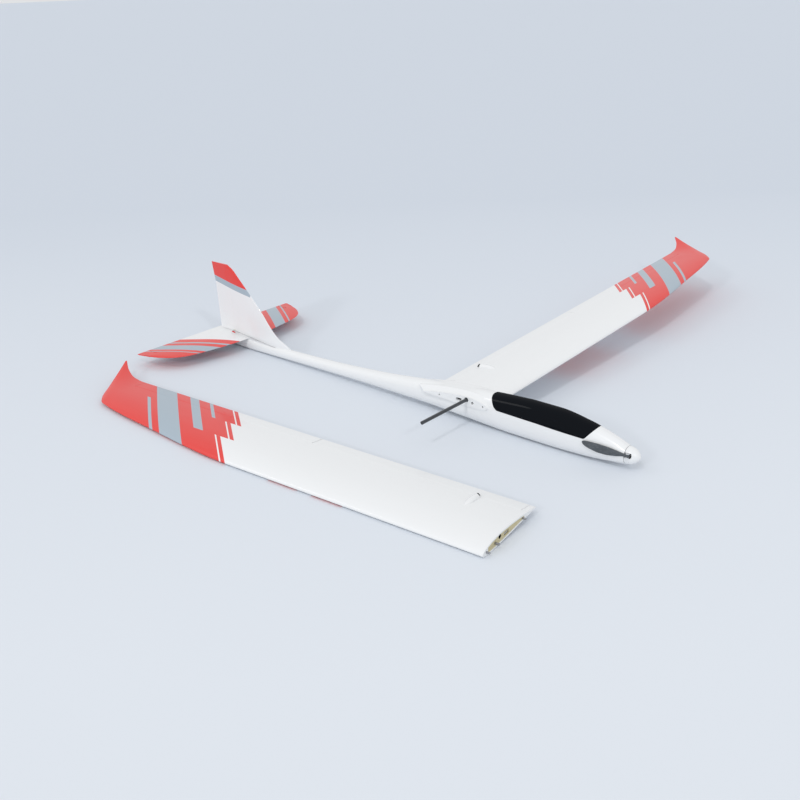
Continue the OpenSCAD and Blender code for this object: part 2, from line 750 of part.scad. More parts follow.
// Frame of the rudder post: Z along the hinge line, X forward.
module on_post() {
    translate([sx(post(rudder_low_z)), 0, rudder_low_z])
        rotate([0, -post_tilt, 0])
            children();
}
post_l = (fin_top_z - rudder_low_z) / cos(post_tilt);
lug_h = 4;
lug_r = 1.9;
rudder_lugs = [36, post_l - 44];
// Round nose of the rudder, or its hollow in the fin, between two heights.
function post_ring(z, grow) =
    let (r = (post_half(z) - 0.15 + grow) / cos(180 / cove_n))
    [for (i = [0:cove_n - 1])
        let (t = 180 - (i + 0.5) * 360 / cove_n)
        [sx(post(z)) + r * cos(t), -r * sin(t), z]];
module post_nose(grow, low, high) {
    loft([post_ring(low, grow), post_ring(high, grow)]);
}

module fin() {
    difference() {
        loft([for (z = fin_z) fin_ring(z)]);
        post_nose(nose_gap, rudder_low_z - 0.6, fin_top_z + 5);
    }
    on_post()
        for (z = rudder_lugs)
            translate([0, 0, z]) {
                cylinder(r = lug_r, h = lug_h, $fn = 32);
                translate([0, -lug_r + 0.4, 0])
                    cube([7, 2 * lug_r - 0.8, lug_h]);
            }
}

module rudder_body() {
    difference() {
        union() {
            loft([for (z = rudder_z) rudder_ring(z)]);
            post_nose(0, rudder_low_z, fin_top_z);
        }
        on_post() {
            translate([0, 0, -2])
                cylinder(d = hinge_wire_d + 2 * pin_gap, h = post_l - 8, $fn = 24);
            for (z = rudder_lugs)
                translate([0, 0, z - nose_gap])
                    cylinder(r = 4.6, h = lug_h + 2 * nose_gap, $fn = 40);
        }
        translate([sx(horn_s + 6.1), -20, rudder_horn_z - horn_t / 2 - 0.05])
            cube([14, 20 - 1.2, horn_t + 0.1]);
    }
}

horn_s = post(44.5) + 3.5;
rudder_horn_z = 44.6;
rudder_arm = 12.5;
rudder_foot = 6.4;
module rudder_horn() {
    eye = [sx(post(44.5)), -rudder_arm, rudder_horn_z];
    translate([0, 0, rudder_horn_z - horn_t / 2])
        linear_extrude(horn_t)
            difference() {
                hull() {
                    translate([sx(horn_s + 6), -2.5])
                        square([rudder_foot, 1.2]);
                    translate([eye[0], eye[1]])
                        circle(r = eye_r, $fn = 32);
                }
                translate([eye[0], eye[1]])
                    circle(d = eye_hole, $fn = 24);
            }
}

// Stabilizer: X forward, Y sideways, about its own middle plane.
elevator_half = stab_half - stab_tip;
stab_hinge_s = stab_s + stab_chord - elevator_chord;
stab_hinge_half = 2.6;
stab_lead_rows = [[0, 0], [55, 3], [150, 16], [190, 26], [220, 42], [250, 80],
    [stab_half, stab_chord - 7]];
stab_half_rows = [[0, stab_hinge_half], [elevator_half, stab_hinge_half], [stab_half, 1.1]];
stab_bulge_rows = [[0, stab_t / 2 - 2.2], [190, 1.2], [stab_half, 0.2]];
function stab_ring(y, grow) =
    let (a = stab_s + curve(stab_lead_rows, 1, abs(y)) - grow,
         f = max(stab_hinge_s, a + 1),
         h = curve(stab_half_rows, 1, abs(y)),
         b = curve(stab_bulge_rows, 1, abs(y)),
         e = stab_s + stab_chord + grow,
         half = concat([for (q = nose_steps(6)) [sx(a + (f - a) * q), fixed_half(q, h, b) + grow]],
             [for (q = [0.5, 1]) [sx(f + (e - f) * q), moving_half(q, h) + grow]]),
         n = len(half) - 1)
    concat([for (i = [n:-1:1]) [half[i][0], y, stab_z + half[i][1]]],
        [[half[0][0], y, stab_z + grow], [half[0][0], y, stab_z - grow - eps]],
        [for (i = [1:n]) [half[i][0], y, stab_z - half[i][1]]]);
stab_y = [0, 55, 110, 150, 190, 215, elevator_half, elevator_half + 0.4 * stab_tip,
    elevator_half + 0.74 * stab_tip, stab_half];
stab_all = concat([for (i = [len(stab_y) - 1:-1:1]) -stab_y[i]], stab_y);
module stab_nose(half_span, grow) {
    translate([sx(stab_hinge_s), half_span, stab_z])
        rotate([90, 0, 0])
            cylinder(r = stab_hinge_half - 0.1 + grow, h = 2 * half_span, $fn = 40);
}
elevator_lugs = [-180, -66, 66, 180];
module stab_body() {
    difference() {
        loft([for (y = stab_all) stab_ring(y, 0)]);
        translate([sx(stab_s + stab_chord + 20), -elevator_half - end_gap, stab_z - 20])
            cube([elevator_chord + 20, 2 * (elevator_half + end_gap), 40]);
        stab_nose(elevator_half + end_gap, nose_gap);
        stab_screw_holes(pin_gap);
    }
    for (y = elevator_lugs)
        difference() {
            translate([sx(stab_hinge_s), y - lug_h / 2, stab_z])
                union() {
                    rotate([-90, 0, 0])
                        cylinder(r = lug_r, h = lug_h, $fn = 32);
                    translate([0, 0, -lug_r + 0.4])
                        cube([4, lug_h, 2 * lug_r - 0.8]);
                }
            elevator_wire(pin_gap);
        }
}
module elevator_wire(grow) {
    translate([sx(stab_hinge_s), elevator_half - 20, stab_z])
        rotate([90, 0, 0])
            cylinder(d = hinge_wire_d + 2 * grow, h = 2 * (elevator_half - 20), $fn = 24);
}
stab_screw_s = [1238, 1276];
stab_screw_d = 2.5;
module stab_screw_holes(grow) {
    for (s = stab_screw_s)
        translate([sx(s), 0, hull_low(s) + 1])
            cylinder(d = stab_screw_d + 2 * grow, h = stab_z + 1 - hull_low(s) + grow, $fn = 32);
}
module stab_screw_heads(grow) {
    for (s = stab_screw_s)
        translate([sx(s), 0, hull_low(s) - 2 + (grow > 0 ? 0 : 2.8)])
            cylinder(d = 5.6 + 2 * grow, h = grow > 0 ? 5 : 2.2, $fn = 32);
}
module stab_screws() {
    stab_screw_heads(0);
    intersection() {
        stab_screw_holes(0);
        translate([sx(1400), -10, 4])
            cube([300, 20, 60]);
    }
}

elevator_arm = 13;
module elevator_blade() {
    translate([sx(stab_hinge_s), elevator_half, stab_z])
        rotate([90, 0, 0])
            linear_extrude(2 * elevator_half)
                polygon([[0, stab_hinge_half], [0, -stab_hinge_half],
                    [-elevator_chord, -tail_edge], [-elevator_chord, tail_edge]]);
}
module elevator_body() {
    difference() {
        union() {
            elevator_blade();
            stab_nose(elevator_half, 0);
        }
        elevator_wire(pin_gap);
        for (y = elevator_lugs)
            translate([sx(stab_hinge_s), y - lug_h / 2 - nose_gap, stab_z])
                rotate([-90, 0, 0])
                    cylinder(r = 3.4, h = lug_h + 2 * nose_gap, $fn = 40);
        translate([sx(stab_hinge_s + 9.1), -horn_t / 2 - 0.05, stab_z - 6])
            cube([14, horn_t + 0.1, 6 - 0.9]);
    }
}
module elevator_horn() {
    eye = [sx(stab_hinge_s), stab_z - elevator_arm];
    translate([0, horn_t / 2, 0])
        rotate([90, 0, 0])
            linear_extrude(horn_t)
                difference() {
                    hull() {
                        translate([sx(stab_hinge_s + 9), stab_z - 2])
                            square([8, 1]);
                        translate(eye)
                            circle(r = eye_r, $fn = 32);
                    }
                    translate(eye)
                        circle(d = eye_hole, $fn = 24);
                }
}

// ---------------------------------------------------------------- linkage
servo_s = 292;
servo_y = 9;
arm_z = tray_z + 14.3;
// Room under the tail rods, which dip towards their arms as they slide aft.
rod_room = 0.8;
rod_z = arm_z + horn_t / 2 + rod_room + rod_d / 2;
module servo() {
    translate([-17, -6, -13])
        cube([23, 12, 22]);
    translate([-21.5, -6, 0])
        cube([4.5, 12, 1.5]);
    translate([6, -6, 0])
        cube([4.5, 12, 1.5]);
    translate([0, 0, 9])
        cylinder(d = 11.5, h = 4, $fn = 40);
    translate([0, 0, 13])
        cylinder(d = 4.6, h = 3, $fn = 32);
}
module tail_servo_arm_body(side) {
    translate([sx(servo_s), side * servo_y, arm_z - horn_t / 2])
        linear_extrude(horn_t)
            difference() {
                hull() {
                    circle(d = 7.4, $fn = 32);
                    translate([0, side * tail_servo_arm])
                        circle(r = 2, $fn = 32);
                }
                circle(d = 4.6 + 2 * pin_gap, $fn = 32);
                translate([0, side * tail_servo_arm])
                    circle(d = eye_hole, $fn = 24);
            }
}
module flat_eye(p) {
    translate(p - [0, 0, clevis_t / 2])
        cylinder(r = eye_r, h = clevis_t, $fn = 24);
}
elevator_start = [sx(servo_s), servo_y + tail_servo_arm, rod_z];
elevator_eye = [sx(stab_hinge_s), horn_t / 2 + clevis_gap, stab_z - elevator_arm];
elevator_end = elevator_eye + [0, clevis_t / 2, 0];
elevator_bend = [sx(715), 8.5, 33];
module elevator_pushrod() {
    flat_eye(elevator_start);
    loft([for (p = [elevator_start, elevator_bend, elevator_end]) upright_ring(p, rod_d / 2)]);
    translate(elevator_eye)
        rotate([-90, 0, 0])
            cylinder(r = eye_r, h = clevis_t, $fn = 24);
}
// A circle across the fuselage's length, for a wire that bends on its way.
function upright_ring(p, r) =
    [for (i = [0:11]) [p[0], p[1] - r * cos(i * 30 + 15), p[2] + r * sin(i * 30 + 15)]];
rudder_start = [sx(servo_s), -servo_y - tail_servo_arm, rod_z];
rudder_bend = [sx(1060), -5, 24];
keeper_rise = 1;
rudder_end = [sx(post(44.5)), -rudder_arm,
    rudder_horn_z + horn_t / 2 + clevis_gap + clevis_t / 2 + keeper_rise];
module rudder_pushrod() {
    flat_eye(rudder_start);
    loft([for (p = [rudder_start, rudder_bend, rudder_end]) upright_ring(p, rod_d / 2)]);
    flat_eye(rudder_end);
}
tube_gap = 0.35;
tube_t = 0.5;
tail_former_s = 724;
tube_s = tail_former_s - 4;
function along(a, b, s) = a + (b - a) * (sx(s) - a[0]) / (b[0] - a[0]);
elevator_tube = [along(elevator_bend, elevator_end, tube_s), along(elevator_bend, elevator_end, 1170)];
rudder_tube = [along(rudder_start, rudder_bend, tube_s), along(rudder_start, rudder_bend, 1046)];
module tube_form(grow) {
    for (t = [elevator_tube, rudder_tube])
        rod(t[0], t[1], rod_d + 2 * (tube_gap + tube_t + grow), 20);
}
module guide_tubes() {
    for (t = [elevator_tube, rudder_tube]) {
        past = (t[1] - t[0]) / 500;
        difference() {
            rod(t[0], t[1], rod_d + 2 * (tube_gap + tube_t), 20);
            rod(t[0] - past, t[1] + past, rod_d + 2 * tube_gap, 20);
        }
    }
}

// ---------------------------------------------------------------- fuselage parts
nose_bore_d = spinner_d - 6;
firewall_s = nose_s + 4;
module along_x(s, d, l, fn = 64) {
    translate([sx(s), 0, axis_z])
        rotate([0, -90, 0])
            cylinder(d = d, h = l, $fn = fn);
}
module fuselage_shell() {
    difference() {
        union() {
            hull_outside();
            saddle();
            fin();
        }
        hull_inside(skin_t);
        canopy_prism(0);
        along_x(nose_s - 1, nose_bore_d, cavity_front + 3 - nose_s);
        translate([sx(joiner_s), root_y + 5, joiner_z])
            rotate([90, 0, 0])
                cylinder(r = tube_r + 0.05, h = 2 * root_y + 10, $fn = 64);
        both_sides()
            fitted_left() {
                root_holes(-pin_out - 2, pin_out + 3, 0.15, 1);
                lead_hole(-12, 14);
            }
        loft([for (y = [-stab_y[1], 0, stab_y[1]]) stab_ring(y, 0.1)]);
        on_post()
            translate([0, 0, -2])
                cylinder(d = hinge_wire_d + 2 * pin_gap, h = post_l - 8, $fn = 24);
        rod(rudder_bend, rudder_end, rod_d + 2.4, 20);
        rod(along(elevator_bend, elevator_end, 1120), elevator_end,
            rod_d + 2 * (tube_gap + tube_t + pin_gap), 20);
        stab_screw_holes(pin_gap);
        stab_screw_heads(0.2);
    }
}
tube_r = joiner_d / 2 + wrap_t + sleeve_gap + 0.8;
module wing_joiner() {
    translate([sx(joiner_s), root_y + joiner_out, joiner_z])
        rotate([90, 0, 0])
            cylinder(d = joiner_d, h = 2 * (root_y + joiner_out), $fn = 64);
    translate([sx(joiner_s), root_y, joiner_z])
        rotate([90, 0, 0])
            cylinder(r = joiner_d / 2 + wrap_t, h = 2 * root_y, $fn = 64);
}
tube_half = root_y - 1.2;
module joiner_tube() {
    translate([sx(joiner_s), tube_half, joiner_z])
        rotate([90, 0, 0])
            difference() {
                cylinder(r = tube_r, h = 2 * tube_half, $fn = 64);
                translate([0, 0, -1])
                    cylinder(r = joiner_d / 2 + wrap_t + sleeve_gap, h = 2 * tube_half + 2, $fn = 64);
            }
}

former_t = 3;
module former(s, window_w, window_low, window_high) {
    difference() {
        loft([hull_ring(s, skin_t + seat_gap), hull_ring(s + former_t, skin_t + seat_gap)]);
        if (window_w > 0)
            translate([sx(s) - former_t - 1, -window_w / 2, window_low])
                cube([former_t + 2, window_w, window_high - window_low]);
        tube_form(seat_gap);
    }
}
front_former_s = 340;
rear_former_s = 500;
module formers() {
    intersection() {
        former(front_former_s, 44, 36, 100);
        translate([sx(front_former_s + 10), -40, 0])
            cube([20, 80, canopy_heel_z - 1]);
    }
    former(rear_former_s, 36, 24, 58);
    former(tail_former_s, 0, 0, 0);
}

tray_front_s = 70;
module equipment_tray() {
    low = tray_z - tray_t;
    stations = [tray_front_s, 84, 124, 180, rest_s, front_former_s - seat_gap];
    edge = [for (s = stations) [sx(s), min(cavity_half(s, low), cavity_half(s, tray_z))]];
    difference() {
        translate([0, 0, low])
            linear_extrude(tray_t)
                polygon(concat([for (p = edge) p],
                    [for (i = [len(edge) - 1:-1:0]) [edge[i][0], -edge[i][1]]]));
        for (side = [-1, 1])
            translate([sx(servo_s) - 17 - seat_gap, side * servo_y - 6 - seat_gap, low - 1])
                cube([23 + 2 * seat_gap, 12 + 2 * seat_gap, tray_t + 2]);
    }
}
battery_s = 121;
module battery() {
    translate([sx(battery_s + battery_l), -battery_w / 2, tray_z])
        difference() {
            cube([battery_l, battery_w, battery_h]);
            // long edges of the wrapped pack
            for (y = [0, battery_w])
                translate([-1, y, battery_h])
                    rotate([45, 0, 0])
                        translate([0, -1.4, -1.4])
                            cube([battery_l + 2, 2.8, 2.8]);
        }
}
strap_w = 20;
strap_t = 1.2;
module battery_strap() {
    translate([sx(battery_s + battery_l / 2) - strap_w / 2, 0, tray_z])
        difference() {
            translate([0, -battery_w / 2 - seat_gap - strap_t, 0])
                cube([strap_w, battery_w + 2 * (seat_gap + strap_t), battery_h + seat_gap + strap_t]);
            translate([-1, -battery_w / 2 - seat_gap, -1])
                cube([strap_w + 2, battery_w + 2 * seat_gap, battery_h + seat_gap + 1]);
        }
}
module esc() {
    translate([sx(115), -13, tray_z]) {
        cube([40, 26, 7]);
        for (i = [0:5])
            translate([4 + i * 6, 2, 7])
                cube([2, 22, 3]);
    }
}
module receiver() {
    translate([sx(270), -12, tray_z])
        difference() {
            cube([35, 24, 12]);
            translate([-1, 4, 3])
                cube([4, 16, 7]);
        }
}

// ---------------------------------------------------------------- canopy
module canopy() {
    intersection() {
        difference() {
            hull_outside();
            hull_inside_canopy();
        }
        canopy_prism(canopy_gap);
    }
}
canopy_s = [70, 84, 98, 124, 150, 180, rest_s - 30, rest_s + 30, 320, 356, 390];
module hull_inside_canopy() {
    loft([for (s = canopy_s) hull_ring(s, canopy_t)]);
}
rail_t = 2;
bar_s = [150, 215, 300];
magnet_d = 6;
magnet_l = 2;
function bar_z() = canopy_heel_z + 3;
// Cross-bars under the canopy, bent into its sides.
module canopy_frame() {
    for (s = bar_s)
        difference() {
            intersection() {
                loft([for (a = [s - 2, s + 2]) hull_ring(a, canopy_t + seat_gap + 0.2)]);
                translate([sx(s) - 5, -50, bar_z()])
                    cube([10, 100, 60]);
            }
            intersection() {
                translate([sx(s) - 6, -50, bar_z() + 7])
                    cube([12, 100, 60]);
                loft([hull_ring(s - 3, canopy_t + 6), hull_ring(s + 3, canopy_t + 6)]);
            }
            translate([sx(s), 0, bar_z() - 1])
                cylinder(d = magnet_d + 0.2, h = magnet_l + 1, $fn = 32);
        }
}
module canopy_magnets() {
    for (s = bar_s)
        translate([sx(s), 0, bar_z() + 0.1])
            cylinder(d = magnet_d, h = magnet_l - 0.2, $fn = 32);
}

// ---------------------------------------------------------------- motor
motor_s = firewall_s + firewall_t;
module firewall() {
    difference() {
        along_x(firewall_s, nose_bore_d - 2 * pin_gap, firewall_t);
        along_x(firewall_s - 1, 10, firewall_t + 2, 48);
        motor_bolts(firewall_s - 1, 3.2, firewall_t + 2);
    }
}
module motor_bolts(s, d, l) {
    for (a = [0:90:270])
        translate([sx(s), 0, axis_z])
            rotate([45 + a, 0, 0])
                translate([0, 8, 0])
                    rotate([0, -90, 0])
                        cylinder(d = d, h = l, $fn = 24);
}
base_l = 4;
bell_gap = 1;
module motor_base() {
    difference() {
        union() {
            along_x(motor_s, 25, base_l);
            along_x(motor_s + base_l, bell_d - 6, bell_l - 3);
        }
        along_x(motor_s - 1, shaft_d + 1, bell_l + base_l + 2, 48);
        motor_bolts(motor_s - 1, 3.2, 4);
    }
}
module motor_screws() {
    motor_bolts(firewall_s - 2, 5.4, 2);
    motor_bolts(firewall_s, 3, firewall_t + 2.5);
}
bell_s = motor_s + base_l + bell_gap;
bell_wall = 1.6;
module motor_bell() {
    difference() {
        along_x(bell_s, bell_d, bell_l);
        along_x(bell_s - 1, bell_d - 2 * bell_wall, bell_l - 1);
        along_x(bell_s, shaft_d + 0.1, bell_l + 1, 48);
        for (a = [0:60:300])
            translate([sx(bell_s + bell_l), 0, axis_z])
                rotate([a, 0, 0])
                    translate([-1, 5, -2])
                        cube([4, 5, 4]);
    }
}
shaft_s = 8;
module motor_shaft() {
    along_x(shaft_s, shaft_d, bell_s + bell_l + 1 - shaft_s, 48);
}

// ---------------------------------------------------------------- propeller
blade_pin_s = 21;
module prop_frame() {
    translate([0, 0, axis_z])
        rotate([-prop_turn, 0, 0])
            children();
}
spinner_t = 1.2;
back_t = 1.4;
function spinner_r(s) = spinner_d / 2 * pow(1 - pow(1 - min(s / spinner_l, 1), 2), 0.62);
slot_h = 11;
module spinner() {
    outer = [for (i = [0:12]) let (s = spinner_l * pow(i / 12, 1.5)) [spinner_r(s), -s]];
    inner = [for (i = [0:10]) let (s = 3 + (spinner_l - back_t - 3) * i / 10)
        [max(spinner_r(s) - spinner_t, 0.5), -s]];
    prop_frame()
        translate([sx(0), 0, 0])
            rotate([0, 90, 0])
                difference() {
                    rotate_extrude($fn = 64)
                        polygon(concat(outer, [[shaft_d / 2 + 0.1, -spinner_l],
                            [shaft_d / 2 + 0.1, -spinner_l + back_t]],
                            [for (i = [10:-1:0]) inner[i]], [[0, -3]]));
                    for (a = [0, 180])
                        rotate([0, 0, a])
                            translate([-slot_h / 2, 15, -spinner_l - 1])
                                cube([slot_h, 20, spinner_l - 9]);
                    translate([0, 0, -4])
                        cylinder(d = 3.2, h = 5, $fn = 32);
                }
}
module spinner_screw() {
    along_x(0.6, 2.9, shaft_s - 0.6 - eps, 32);
}
yoke_w = 8;
yoke_h = 10;
fork_gap = 6.3;
module prop_yoke() {
    prop_frame()
        difference() {
            union() {
                translate([sx(blade_pin_s) - yoke_w / 2, -yoke_span / 2, -yoke_h / 2])
                    cube([yoke_w, yoke_span, yoke_h]);
                for (side = [-1, 1])
                    translate([sx(blade_pin_s), side * yoke_span / 2, -yoke_h / 2])
                        cylinder(d = yoke_w, h = yoke_h, $fn = 40);
                translate([sx(blade_pin_s + 5), 0, 0])
                    rotate([0, 90, 0])
                        cylinder(d = 13, h = 12, $fn = 48);
            }
            for (side = [-1, 1]) {
                translate([sx(blade_pin_s) - 10, side * (yoke_span / 2) - 5.2, -fork_gap / 2])
                    cube([20, 10.4, fork_gap]);
                translate([sx(blade_pin_s), side * yoke_span / 2, -10])
                    cylinder(d = blade_pin_d, h = 20, $fn = 32);
            }
            translate([sx(blade_pin_s + 8), 0, 0])
                rotate([0, 90, 0])
                    cylinder(d = shaft_d, h = 20, $fn = 48);
        }
}
module blade_pins() {
    prop_frame()
        for (side = [-1, 1])
            translate([sx(blade_pin_s), side * yoke_span / 2, -yoke_h / 2])
                cylinder(d = blade_pin_d, h = yoke_h, $fn = 32);
}
// place, width, thickness, twist, sweep of the middle line
blade_rows = [[6, 6, 4.4, 0, 0], [13, 8.5, 3.2, 16, 0.2], [26, 14, 2.5, 17, 0.8],
    [45, blade_w - 0.6, 2.1, 15, 1.2], [60, blade_w, 1.8, 13, 1],
    [80, blade_w - 3.4, 1.4, 11, -0.4], [92, blade_w - 7.5, 1.1, 10, -1.8],
    [98, blade_w - 12.5, 0.9, 10, -2.8], [100, 2.2, 0.7, 10, -3.4]];
blade_side = 6;
function blade_ring(r) =
    let (w = curve(blade_rows, 1, r),
         t = curve(blade_rows, 2, r),
         a = curve(blade_rows, 3, r),
         m = curve(blade_rows, 4, r),
         flat = [for (i = [0:2 * blade_side - 1])
             let (g = i * 180 / blade_side)
             [-t / 2 * sin(g) * (sin(g) > 0 ? 1 : 0.7) + t * 0.25 * sin(g) * sin(g), -w / 2 * cos(g)]])
    [for (p = flat)
        [-r * blade_l / 100, p[0] * cos(a) - p[1] * sin(a), m + p[0] * sin(a) + p[1] * cos(a)]];
blade_r = [6, 9, 13, 19, 26, 35, 45, 56, 68, 80, 88, 94, 98, 100];
module blade() {
    prop_frame()
        translate([sx(blade_pin_s), yoke_span / 2, 0])
            rotate([0, 0, -blade_splay])
                difference() {
                    union() {
                        loft([for (r = blade_r) blade_ring(r)]);
                        translate([0, 0, -3])
                            cylinder(r = 3.8, h = 6, $fn = 32);
                        translate([-7, -2, -3])
                            cube([7, 4, 6]);
                    }
                    translate([0, 0, -5])
                        cylinder(d = blade_pin_d + 2 * pin_gap, h = 10, $fn = 32);
                }
}
module other_blade() {
    translate([0, 0, axis_z])
        rotate([180, 0, 0])
            translate([0, 0, -axis_z])
                blade();
}

// ---------------------------------------------------------------- output
color("white") fuselage_shell();
color("burlywood") firewall();
color("dimgray") motor_base();
color("silver") motor_screws();
color("burlywood") formers();
color("burlywood") equipment_tray();
color("royalblue") battery();
color("black") battery_strap();
color("dimgray") esc();
color("orange") receiver();
color("navy") translate([sx(servo_s), servo_y, tray_z]) servo();  // elevator_servo
color("navy") translate([sx(servo_s), -servo_y, tray_z]) servo();  // rudder_servo
color("khaki") guide_tubes();
color(carbon) wing_joiner();
color("khaki") joiner_tube();
color("white") stab_body();  // stabilizer
color("silver") stab_screws();
color("silver") on_post() cylinder(d = hinge_wire_d, h = post_l - 12, $fn = 24);  // rudder_hinge_wire
color("silver") elevator_wire(0);  // elevator_hinge_wire
color(black) canopy();
color("burlywood") canopy_frame();
color("silver") canopy_magnets();
color("white") spinner();
color("silver") spinner_screw();
color("dimgray") prop_yoke();
color("silver") motor_shaft();
color("gold") motor_bell();
color(carbon) blade();  // blade_left
color(carbon) other_blade();  // blade_right
color("silver") blade_pins();
color("white") rudder_body();  // rudder
color("white") rudder_horn();
color("white") elevator_body();  // elevator
color("white") elevator_horn();
color("silver") elevator_pushrod();
color("silver") rudder_pushrod();
color("white") tail_servo_arm_body(1);  // elevator_servo_arm
color("white") tail_servo_arm_body(-1);  // rudder_servo_arm
color("white") fitted_left() wing_panel();  // left_panel
color("burlywood") fitted_left() root_rib();  // left_root_rib
color("khaki") fitted_left() joiner_socket();  // left_joiner_socket
color("silver") fitted_left() root_pins();  // left_root_pins
color("white") fitted_left() wing_flap();  // left_flap
color("tomato") fitted_left() wing_aileron();  // left_aileron
color("white") fitted_left() flap_fairing();  // left_flap_fairing
color("silver") fitted_left() flap_pushrod();  // left_flap_pushrod
color("navy") fitted_left() aileron_servo();  // left_aileron_servo
color("white") fitted_left() aileron_servo_arm();  // left_aileron_servo_arm
color("silver") fitted_left() aileron_pushrod();  // left_aileron_pushrod
color("white") laid_right() wing_panel();  // right_panel
color("burlywood") laid_right() root_rib();  // right_root_rib
color("khaki") laid_right() joiner_socket();  // right_joiner_socket
color("silver") laid_right() root_pins();  // right_root_pins
color("white") laid_right() wing_flap();  // right_flap
color("tomato") laid_right() wing_aileron();  // right_aileron
color("white") laid_right() flap_fairing();  // right_flap_fairing
color("silver") laid_right() flap_pushrod();  // right_flap_pushrod
color("navy") laid_right() aileron_servo();  // right_aileron_servo
color("white") laid_right() aileron_servo_arm();  // right_aileron_servo_arm
color("silver") laid_right() aileron_pushrod();  // right_aileron_pushrod
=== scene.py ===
"""Dresses a radio-controlled electric sailplane, set out on a studio floor.

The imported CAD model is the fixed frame. The large skins are lofted again from
the same measures with finer steps, and stand for their CAD nodes. Everything
else keeps its CAD mesh and gets a finish of its own.
"""
import logging
import math
from dataclasses import dataclass, field
from enum import Enum
from typing import Any, Sequence

import bmesh
import bpy
from mathutils import Matrix, Vector
from mathutils.geometry import convex_hull_2d


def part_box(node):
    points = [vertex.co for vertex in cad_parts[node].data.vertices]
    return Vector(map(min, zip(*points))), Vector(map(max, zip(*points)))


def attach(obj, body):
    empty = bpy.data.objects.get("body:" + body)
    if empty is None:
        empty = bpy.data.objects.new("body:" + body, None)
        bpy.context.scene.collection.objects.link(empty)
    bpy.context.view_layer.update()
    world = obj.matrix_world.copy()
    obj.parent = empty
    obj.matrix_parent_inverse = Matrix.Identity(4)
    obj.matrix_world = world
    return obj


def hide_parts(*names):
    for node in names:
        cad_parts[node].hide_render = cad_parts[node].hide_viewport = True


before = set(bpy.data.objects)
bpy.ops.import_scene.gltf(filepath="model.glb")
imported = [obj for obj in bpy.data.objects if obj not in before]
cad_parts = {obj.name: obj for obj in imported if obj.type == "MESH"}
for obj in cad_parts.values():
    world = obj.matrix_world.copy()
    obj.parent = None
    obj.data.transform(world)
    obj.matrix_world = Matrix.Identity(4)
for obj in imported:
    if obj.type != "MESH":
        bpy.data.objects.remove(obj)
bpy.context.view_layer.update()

log = logging.getLogger("sailplane")

MM = 0.001
Point = tuple[float, float, float]
Ring = list[Point]
Flat = list[tuple[float, float]]
Colour = tuple[float, float, float]


# ------------------------------------------------------------------ measures
@dataclass(frozen=True)
class Rows:
    """Rows of (place, value, value ...) joined by a smooth curve that never overshoots."""

    table: tuple[tuple[float, ...], ...]

    def rise(self, column: int, i: int) -> float:
        """Rise of a column per unit of place between row i and the next."""
        a, b = self.table[i], self.table[i + 1]
        return (b[column] - a[column]) / (b[0] - a[0])

    def slope(self, column: int, i: int) -> float:
        """Slope of the curve at a row.

        Args:
            column: which value of the rows.
            i: the row.

        Returns:
            The slope, level where the column turns back.
        """
        last = len(self.table) - 1
        if i in (0, last):
            return self.rise(column, min(i, last - 1))
        a, b = self.rise(column, i - 1), self.rise(column, i)
        return 0.0 if a * b <= 0 else 2 * a * b / (a + b)

    def at(self, place: float, column: int = 1) -> float:
        """Value of a column at a place.

        Args:
            place: where along the rows to read, in the rows' own units.
            column: which value of the rows to read.

        Returns:
            The smooth value, held level beyond the first and last rows.
        """
        i = 0
        while i < len(self.table) - 2 and place > self.table[i + 1][0]:
            i += 1
        low, high = self.table[i], self.table[i + 1]
        h = high[0] - low[0]
        t = min(max((place - low[0]) / h, 0.0), 1.0)
        rest = 1 - t
        bend = self.slope(column, i) * t * rest**2 - self.slope(column, i + 1) * t * t * rest
        return low[column] * (1 + 2 * t) * rest**2 + high[column] * t * t * (3 - 2 * t) + h * bend


def steps(low: float, high: float, count: int) -> list[float]:
    """Evenly spaced numbers from low to high, both ends included."""
    return [low + (high - low) * i / count for i in range(count + 1)]


def joined(*parts: Sequence[float]) -> list[float]:
    """Several rising lists in one, with repeated numbers kept once.

    Args:
        parts: the lists in order.

    Returns:
        The numbers.
    """
    out: list[float] = []
    for value in (v for part in parts for v in part):
        if not out or value > out[-1] + 1e-6:
            out.append(value)
    return out


def circle(radius: float, sides: int, x: float = 0.0, y: float = 0.0) -> Flat:
    """Outline of a circle about (x, y)."""
    turn = 2 * math.pi / sides
    return [(x + radius * math.cos(i * turn), y + radius * math.sin(i * turn)) for i in range(sides)]


def rectangle(x: float, y: float, width: float, height: float) -> Flat:
    """Outline of a rectangle from its lowest corner."""
    return [(x, y), (x + width, y), (x + width, y + height), (x, y + height)]


def rounded(corners: Flat, radius: float, per_corner: int = 10) -> Flat:
    """A convex outline with an arc of one radius at every corner.

    Args:
        corners: the outline's corners in order.
        radius: radius of the arcs.
        per_corner: steps in each arc.

    Returns:
        The points of the rounded outline.
    """
    out: Flat = []
    for i, corner in enumerate(corners):
        here = Vector(corner)
        back = (Vector(corners[i - 1]) - here).normalized()
        on = (Vector(corners[(i + 1) % len(corners)]) - here).normalized()
        half = back.angle(on) / 2
        if half > math.radians(88.5):
            out.append(corner)
            continue
        middle = here + (back + on).normalized() * (radius / math.sin(half))
        a = here + back * (radius / math.tan(half)) - middle
        b = here + on * (radius / math.tan(half)) - middle
        sweep = a.angle_signed(b)
        for k in range(per_corner + 1):
            turn = -sweep * k / per_corner
            c, s = math.cos(turn), math.sin(turn)
            out.append((middle.x + a.x * c - a.y * s, middle.y + a.x * s + a.y * c))
    return out


def turn(angle: float, axis: str) -> Matrix:
    """A turn in degrees about an axis."""
    return Matrix.Rotation(math.radians(angle), 4, axis)


def shift(x: float, y: float, z: float) -> Matrix:
    """A move."""
    return Matrix.Translation((x, y, z))


FLIP_Y = Matrix.Diagonal((1, -1, 1, 1))
UPRIGHT = turn(90, "X")


